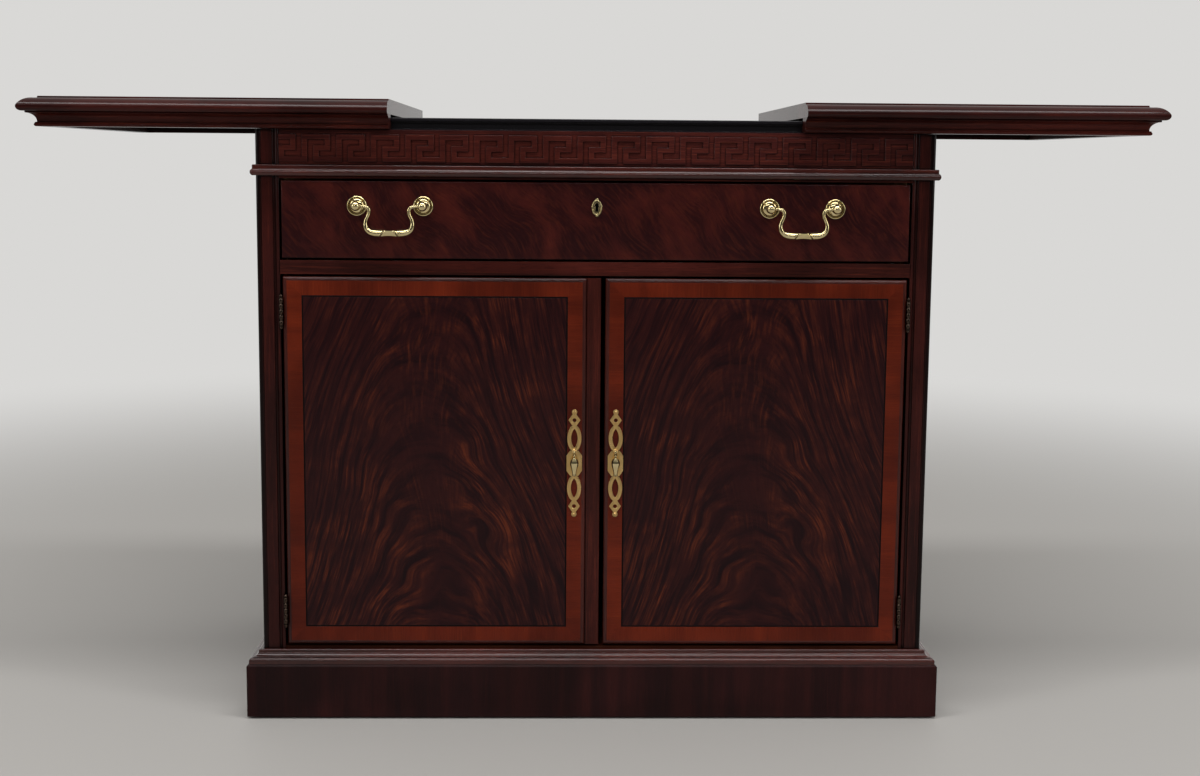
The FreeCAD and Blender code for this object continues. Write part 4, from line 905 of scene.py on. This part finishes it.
# %% Crotch veneer under lacquer
crotch, tree, output = start("crotch_mahogany_veneer_lacquered")
arches = add(tree, "Attribute", {"attribute_name": "arches"})
feathers = add(tree, "Attribute", {"attribute_name": "feathers"})
shade_of = add(tree, "SeparateXYZ", None, (arches.outputs["Vector"],)).outputs["Z"]
plume_of = add(tree, "SeparateXYZ", None, (feathers.outputs["Vector"],)).outputs["Z"]


def strokes(flow, fine, length, detail):
    """Noise over streak and place along it, with cells of a size in millimetres."""
    scaled = add(tree, "Mapping", None, {"Vector": flow.outputs["Vector"],
                                         "Scale": (1 / fine, 1 / length, 0.0)})
    return add(tree, "TexNoise", None, {"Vector": scaled, "Scale": 1.0, "Detail": detail,
                                        "Roughness": 0.6})


broad = strokes(arches, 23, 130, 4.0)
fine = strokes(arches, 7.5, 60, 3.0)
hairs = strokes(arches, 2.6, 15, 2.0)
barbs = strokes(feathers, 3.2, 45, 4.0)
mottle = add(tree, "TexNoise", None, {"Vector": add(tree, "TexCoord").outputs["Object"],
                                      "Scale": 1 / (34 * MM), "Detail": 3.0, "Roughness": 0.6})
# streaks at the sides and feathers in the plume, lit in patches and then crossed by pores
striped = add(tree, "Mix", {"data_type": "FLOAT"}, (0.45, broad, fine))
value = add(tree, "Mix", {"data_type": "FLOAT"}, (plume_of, striped, barbs))
lit = add(tree, "MapRange", eased, (value, 0.45, 0.69))
mottle = add(tree, "MapRange", eased, (mottle, 0.36, 0.64, 0.25, 1.15))
patchy = add(tree, "Math", {"operation": "MULTIPLY"}, (lit, mottle))
dimmed = add(tree, "Math", {"operation": "MULTIPLY"}, (patchy, shade_of))
deep = add(tree, "MapRange", eased, (broad, 0.3, 0.6))
ground = add(tree, "Mix", mixed, (deep, "#1a060a", "#2c0e0f"))
flame = add(tree, "Mix", mixed, (dimmed, ground, "#6a2e19"))
hairs = add(tree, "MapRange", eased, (hairs, 0.55, 0.7, 0.0, 0.35))
pored = add(tree, "Mix", mixed, (hairs, flame, "#0e0506"))
lacquered(tree, output, pored, fine, 0.45, 0.85, 0.07)
for side in ("left", "right"):
    veneer_panel(side)

# %% [markdown]
# Swirl mahogany
#
# The drawer front wears a mottled veneer: soft patches of red brown on a dark ground,
# crossed by short fibres and pores that lean with them. Each of the three is a stretched
# noise turned to that lean, and a slow fourth noise bends them all. The pores are drawn
# about a millimetre wide, so that they show.

# %% Swirl veneer under lacquer
swirl, tree, output = start("swirl_mahogany_veneer_lacquered")
where = add(tree, "TexCoord").outputs["Object"]
slow = add(tree, "TexNoise", None, {"Vector": where, "Scale": 1 / (130 * MM)})
drift = add(tree, "VectorMath", {"operation": "SCALE"}, (slow.outputs["Color"], 0.06))
moved = add(tree, "VectorMath", {"operation": "ADD"}, (where, drift))


def leaning(turn, across, up, detail, rough=0.55):
    """Noise with cells of a width and height in millimetres, turned in the front's plane.
    A texture mapping turns the place first and then divides it by the size of a cell."""
    cells = add(tree, "Mapping", {"vector_type": "TEXTURE"},
                {"Vector": moved, "Rotation": (0, math.radians(turn), 0),
                 "Scale": (across * MM, across * MM, up * MM)})
    return add(tree, "TexNoise", None, {"Vector": cells, "Scale": 1.0, "Detail": detail,
                                        "Roughness": rough, "Distortion": 0.3})


patches = leaning(58, 86, 40, 5.0, 0.6)
brush = leaning(50, 24, 3.0, 4.0)
pore = leaning(50, 9, 0.9, 1.0)
patches = add(tree, "MapRange", eased, (patches, 0.36, 0.76))
ground = add(tree, "Mix", mixed, (patches, "#270c0e", "#4a1b16"))
lit = add(tree, "MapRange", eased, (brush, 0.44, 0.76, 0.0, 0.4))
brushed = add(tree, "Mix", mixed, (lit, ground, "#562417"))
pore = add(tree, "MapRange", eased, (pore, 0.56, 0.7, 0.0, 0.35))
pored = add(tree, "Mix", mixed, (pore, brushed, "#100506"))
lacquered(tree, output, pored, brush, 0.45, 0.85, 0.07)

# %% [markdown]
# The plainer finishes
#
# Stringing is dyed veneer two millimetres wide, and shows as a matt black line. The
# serving top is black heat-proof laminate with a soft gloss. Drawer sides and runners are
# pale hardwood with a thin sealer. Catches and glides are moulded plastic, dull and even.
# Strikes, screws and shelf pins are plated steel, and the lock is blackened steel.

# %% The plainer finishes
def plain(name, low_card, high_card, size, rough_low, rough_high, metallic=0.0, bump=0.02,
          specular=0.5):
    """A finish with one mottling of a size in millimetres in its colour and its gloss."""
    material, tree, output = start(name)
    arris = add(tree, "Bevel", {"samples": 4}, {"Radius": 0.4 * MM})
    mottle = add(tree, "TexNoise", None, {"Vector": add(tree, "TexCoord").outputs["Object"],
                                          "Scale": 1 / (size * MM), "Detail": 4.0})
    shade = add(tree, "Mix", mixed, (mottle, low_card, high_card))
    rough = add(tree, "MapRange", None, (mottle, 0, 1, rough_low, rough_high))
    relief = add(tree, "Bump", None, {"Height": mottle, "Strength": 0.3, "Distance": bump * MM,
                                      "Normal": arris})
    shader = add(tree, "BsdfPrincipled", None,
                 {"Base Color": shade, "Roughness": rough, "Metallic": metallic, "Normal": relief,
                  "Specular IOR Level": specular})
    finish_with(tree, output, shader)
    return material


stringing = plain("dyed_black_stringing", "#050203", "#0a0405", 3, 0.4, 0.5, specular=0.1)
laminate = plain("black_melamine_laminate", "#151316", "#1d1a1f", 0.8, 0.18, 0.28, bump=0.01,
                 specular=0.3)
plastic = plain("moulded_brown_plastic", "#2b1a12", "#3a251a", 1.2, 0.42, 0.55)
lock_steel = plain("blackened_lock_steel", "#1d1b1a", "#2f2c2a", 5, 0.35, 0.5, metallic=1.0,
                   bump=0.01)
steel = plain("nickel_plated_steel", "#a7a49f", "#c6c3bd", 6, 0.24, 0.38, metallic=1.0,
              bump=0.01)
pale_cards = ("#a98a63", "#bd9e75", "#cdb189")
sealer = {"lines": 0.3, "rough": 0.55, "coat": 0.1, "coat_rough": 0.4, "uneven": 0.1,
          "pore_card": "#8f7048"}
pale_across = mahogany("sealed_poplar_across", (0,), pale_cards, ribbon=40, **sealer)
pale_deep = mahogany("sealed_poplar_front_to_back", (1,), pale_cards, ribbon=26, **sealer)
# the leaves' runners can be seen from below, so they are stained like the rest
dark_level = mahogany("stained_poplar_level_grain", (0, 1), ("#170a09", "#21100d", "#2c1813"),
                      ribbon=40, lines=0.3, rough=0.55, coat=0.1, coat_rough=0.4)

# %% [markdown]
# Screws and small fittings
#
# Three countersunk screws hold each hinge leaf, the middle one set off from the line of
# the others so that the wood doesn't split. Round-headed screws hold the back panel, and
# small ones the lock, the strikes and the magnetic catches. A head is a polar grid with
# low height, and inside the stamped cross the height drops.

# %% Screw heads
def screw_head(seat, axis, across, radius, rise):
    """Height over the seat at a share s of the radius: rise (1 - s^2 / 3), and a quarter
    of that where the point lies in a cross 0.28 R wide and 1.2 R long."""
    share = np.array([0.0, 0.13, 0.3, 0.45, 0.58, 0.64, 0.85, 0.97, 1.0, 1.0, 0.0])[:, None]
    angle = np.linspace(0, 2 * np.pi, 32, endpoint=False)
    u, v = share * np.cos(angle), share * np.sin(angle)
    height = rise * (1 - share ** 2 / 3) * np.ones_like(u)
    in_cross = (np.minimum(abs(u), abs(v)) < 0.14) & (np.maximum(abs(u), abs(v)) < 0.6)
    height = np.where(in_cross, height / 4, height)
    # the rim falls away, and the foot is sunk under the seat
    height[-3] *= 0.8
    height[-2:] = -0.2
    axis, across = np.asarray(axis, float), np.asarray(across, float)
    side = np.cross(axis, across)
    grid = (radius * (u[..., None] * across + v[..., None] * side) + height[..., None] * axis) * MM
    return (grid + np.asarray(seat, float), False, True)


def screws(name, seats, axis, across, radius, rise, material, body):
    build(name, [screw_head(seat, axis, across, radius, rise) for seat in seats], material, body)


# a hinge's two plates lie on both sides of a narrow gap, at these distances from the
# cabinet's middle, and each plate is as high as two halves
frame_plate = (425.7, 427.0)
door_plate = (424.0, 425.3)
leaf_half = 19.0
flush, proud = 0.15, 0.8
hinge_low, hinge_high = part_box("hinge_frame_leaves")
leaf_rows = [hinge_low.z + leaf_half * MM, hinge_high.z - leaf_half * MM]
leaf_holes = [(row + up * MM, hinge_high.y - back * MM) for row in leaf_rows
              for up, back in ((-13, 5.5), (0, 9.5), (13, 5.5))]
for sign, side in ((-1, "left"), (1, "right")):
    for plate, face, facing, body in (("frame", frame_plate[0], -sign, "root"),
                                      ("door", door_plate[1], sign, side + "_door")):
        screws(side + "_" + plate + "_hinge_screws",
               [(sign * face * MM, y, level) for level, y in leaf_holes],
               (facing, 0, 0), (0, 0, 1), 2.7, flush, toned_bronze, body)
    strike_low, strike_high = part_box(side + "_door_strike")
    strike_seats = [(x, strike_high.y, (strike_low.z + strike_high.z) / 2)
                    for x in (strike_low.x + 5 * MM, strike_high.x - 5 * MM)]
    screws(side + "_strike_screws", strike_seats, (0, 1, 0), (1, 0, 0), 2.4, flush, steel,
           side + "_door")

# %% Back panel, lock and catches
panel_low, panel_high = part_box("back_panel")
back_seats = [(x, panel_high.y, z) for x in (panel_low.x + 7 * MM, panel_high.x - 7 * MM)
              for z in np.linspace(panel_low.z + 40 * MM, panel_high.z - 8 * MM, 7)]
back_seats += [(x, panel_high.y, z) for z in (panel_low.z + 8 * MM, panel_high.z - 8 * MM)
               for x in np.linspace(-0.3, 0.3, 5)]
screws("back_panel_screws", back_seats, (0, 1, 0), (1, 0, 0), 3.4, 1.2, steel, "root")
lock_low, lock_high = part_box("drawer_lock")
lock_seats = [(x, lock_high.y, z) for x in (lock_low.x + 5 * MM, lock_high.x - 5 * MM)
              for z in (lock_low.z + 5 * MM, lock_high.z - 8 * MM)]
screws("drawer_lock_screws", lock_seats, (0, 1, 0), (1, 0, 0), 2.6, proud, steel, "drawer")
# how far each magnetic catch is from the middle
catch_place = 42
catch_low, catch_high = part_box("door_catches")
catch_seats = [(side * (catch_place + step) * MM, (catch_low.y + catch_high.y) / 2, catch_low.z)
               for side in (-1, 1) for step in (-16, 16)]
screws("door_catch_screws", catch_seats, (0, 0, -1), (1, 0, 0), 2.6, proud, steel, "root")


def bar(low, high):
    """A straight bar as a closed grid: four rings round it, the outer two drawn to a point."""
    low, high = np.array(low), np.array(high)
    corners = np.array([(0, 0), (1, 0), (1, 1), (0, 1)])
    ring = low[1:] + corners * (high - low)[1:]
    middle = np.repeat((low[1:] + high[1:])[None] / 2, 4, 0)
    stations = ((low[0], middle), (low[0], ring), (high[0], ring), (high[0], middle))
    rings = [np.column_stack([np.full(4, x), points]) for x, points in stations]
    return (np.stack(rings), False, True)


# %% [markdown]
# Hinge barrels
#
# The hinges are solid castings with a turned barrel. Each knuckle is rounded like a bead
# before the casting is toned, so that a row of small lights runs down the barrel. Two
# knuckles belong to the door's leaf and three to the frame's, and a tab joins each of
# them to its plate.

# %% Hinge leaves
pin_low, pin_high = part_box("hinge_pins")
ball_radius = (pin_high.y - pin_low.y) / 2
barrel_x = (pin_high.x - ball_radius) / MM
barrel_y = (pin_low.y + ball_radius) / MM
knuckles, knuckle_radius, knuckle_bulge, knuckle_gap = 5, 2.68, 5.0, 0.2
knuckle_pitch = 2 * leaf_half / knuckles
plate_start, plate_depth, tab_start, tab_depth, tab_gap = 3.0, 22.0, 0.6, 3.5, 0.5
# a bead is the middle of an ellipse with a half length longer than the knuckle's own
along_knuckle = np.linspace(knuckle_gap, knuckle_pitch - knuckle_gap, 15)
from_middle = along_knuckle - knuckle_pitch / 2
bead_of_knuckle = knuckle_radius * np.sqrt(1 - (from_middle / knuckle_bulge) ** 2)
knuckle_profile = capped(np.stack([bead_of_knuckle, along_knuckle], 1))


def hinge_leaves(name, sides, numbers, plate, body, replaced):
    """The plates, tabs and knuckles with some numbers, counted up from the foot."""
    grids = []
    for side in sides:
        near, far = sorted(side * face * MM for face in plate)
        for row in leaf_rows:
            foot = row - leaf_half * MM
            head = row + leaf_half * MM
            grids.append(bar((near, (barrel_y + plate_start) * MM, foot),
                             (far, (barrel_y + plate_depth) * MM, head)))
            for number in numbers:
                low = foot + number * knuckle_pitch * MM
                high = low + knuckle_pitch * MM
                centre = (side * barrel_x * MM, barrel_y * MM, low)
                grids.append(lathe(knuckle_profile, centre, (0, 0, 1), sideways, 28))
                grids.append(bar((near, (barrel_y + tab_start) * MM, low + tab_gap * MM),
                                 (far, (barrel_y + tab_depth) * MM, high - tab_gap * MM)))
    build(name, grids, toned_bronze, body, (replaced,))


hinge_leaves("frame_hinge_leaves_cast", (-1, 1), (0, 2, 4), frame_plate, "root",
             "hinge_frame_leaves")
for sign, side in ((-1, "left"), (1, "right")):
    hinge_leaves(side + "_door_hinge_cast", (sign,), (1, 3), door_plate, side + "_door",
                 side + "_door_hinge_leaves")

# %% Catch poles
# the two poles of each magnet stand just proud of the catch's face
pole_half, pole_proud, pole_deep, pole_thick = 15, 0.2, 3, 1.4
poles = [bar(((side * catch_place - pole_half) * MM, catch_low.y - pole_proud * MM,
              catch_low.z + up * MM),
             ((side * catch_place + pole_half) * MM, catch_low.y + pole_deep * MM,
              catch_low.z + (up + pole_thick) * MM))
         for side in (-1, 1) for up in (3.2, 10.4)]
build("door_catch_poles", poles, steel, "root")

# %% [markdown]
# The key pattern on the frieze
#
# A Greek key: one raised band, as wide as the groove beside it, that turns at square
# corners all along the frieze. On the real piece it is moulded and glazed, with edges
# worn slightly round, and those edges are what the light picks out. The band is one
# profile carried along a square path and mitred at each corner.

# %% The key band
fret_low, fret_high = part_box("frieze_fret")
# the key pattern's repeat, six columns wide, and how many columns and rows the frieze holds
columns, rows, first_column, unit_columns = 111, 5, 2, 6
key_unit = np.array([(0.5, 0.5), (0.5, 4.5), (4.5, 4.5), (4.5, 2.5), (2.5, 2.5), (2.5, 0.5)])
units = np.arange((first_column + columns) // unit_columns + 1)
shifts = np.stack([units * unit_columns, units * 0], 1)
path = (key_unit[None] + shifts[:, None]).reshape(-1, 2)
last_column = first_column + columns
path = path[(path[:, 0] > first_column) & (path[:, 0] < last_column)]
path = np.vstack([[(first_column, path[0, 1])], path, [(last_column, path[-1, 1])]])
steps = np.sign(np.diff(path, axis=0))
arrive, leave = np.vstack([steps[:1], steps]), np.vstack([steps, steps[-1:]])
# a mitre joins the two normals; half their sum is right for a straight run
normal = np.stack([-(arrive + leave)[:, 1], (arrive + leave)[:, 0]], 1)
normal /= 1 + np.abs((arrive * leave).sum(1))[:, None]
pitch = np.array([(fret_high.x - fret_low.x) / columns, (fret_high.z - fret_low.z) / rows])
depth = fret_high.y - fret_low.y
# half width and height as shares: up the side, over the worn edge and across the top
worn = np.array([(0.5, 0.0), (0.5, 0.62), (0.485, 0.80), (0.455, 0.93), (0.41, 0.985),
                 (0.35, 1.0)])
worn = np.vstack([worn, worn[::-1] * (-1, 1)])
flat = path[:, None] + worn[None, :, :1] * normal[:, None]
grid = np.stack([fret_low.x + (flat[..., 0] - first_column) * pitch[0],
                 fret_high.y - worn[None, :, 1] * depth + 0 * flat[..., 0],
                 fret_low.z + flat[..., 1] * pitch[1]], -1)
ends = [np.stack([edge, np.repeat(edge.mean(0)[None], len(edge), 0)])
        for edge in (grid[0], grid[-1])]
build("frieze_key_band", [(grid, False, True)] + [(end, False, True) for end in ends],
      frieze_mahogany, "root", ("frieze_fret",))

# %% [markdown]
# The boards
#
# Boards, rails and mouldings keep the meshes that they came with: a planed and moulded
# piece is already true, and its softened arris comes from the material. So only the
# material in each board's slot changes, and a table says which finish each one wears.

# %% Every board gets its finish
finishes = {
    glossy_mouldings: ["base_mouldings", "waist_mouldings"],
    level_mahogany: ["waist_rail", "drawer_rail",
                     "left_leaf_back_rail", "right_leaf_back_rail"],
    leaf_edges: ["left_leaf_mouldings", "right_leaf_mouldings"],
    frieze_mahogany: ["frieze_board", "frieze_fret"],
    plinth_mahogany: ["plinth_boards"],
    upright_mahogany: ["front_posts"],
    astragal_mahogany: ["left_door_astragal"],
    panel_mahogany: ["side_panels"],
    inside_mahogany: ["cabinet_floor", "sub_top", "shelf"],
    inside_upright: ["back_panel"],
    swirl: ["drawer_front"],
    pale_across: ["drawer_back", "drawer_bottom", "dust_panel", "corner_blocks"],
    pale_deep: ["drawer_sides", "drawer_runners", "drawer_kickers"],
    dark_level: ["left_leaf_runners", "right_leaf_runners"],
    laminate: ["serving_top", "slide_tracks"],
    stringing: ["left_door_stringing", "right_door_stringing"],
    toned_bronze: ["hinge_pins"],
    steel: ["shelf_pins", "left_door_strike", "right_door_strike"],
    lock_steel: ["drawer_lock", "drawer_lock_bolt"],
    plastic: ["door_catches", "floor_glides"],
    edge_finish["left"]: ["left_door_core"],
    edge_finish["right"]: ["right_door_core"],
    band_finish["left"]: ["left_door_crossband"],
    band_finish["right"]: ["right_door_crossband"],
    slab_finish["left"]: ["left_leaf_slab"],
    slab_finish["right"]: ["right_leaf_slab"],
}
for material, names in finishes.items():
    for name in names:
        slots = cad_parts[name].data.materials
        slots.clear()
        slots.append(material)
print("finished nodes", sum(len(names) for names in finishes.values()))
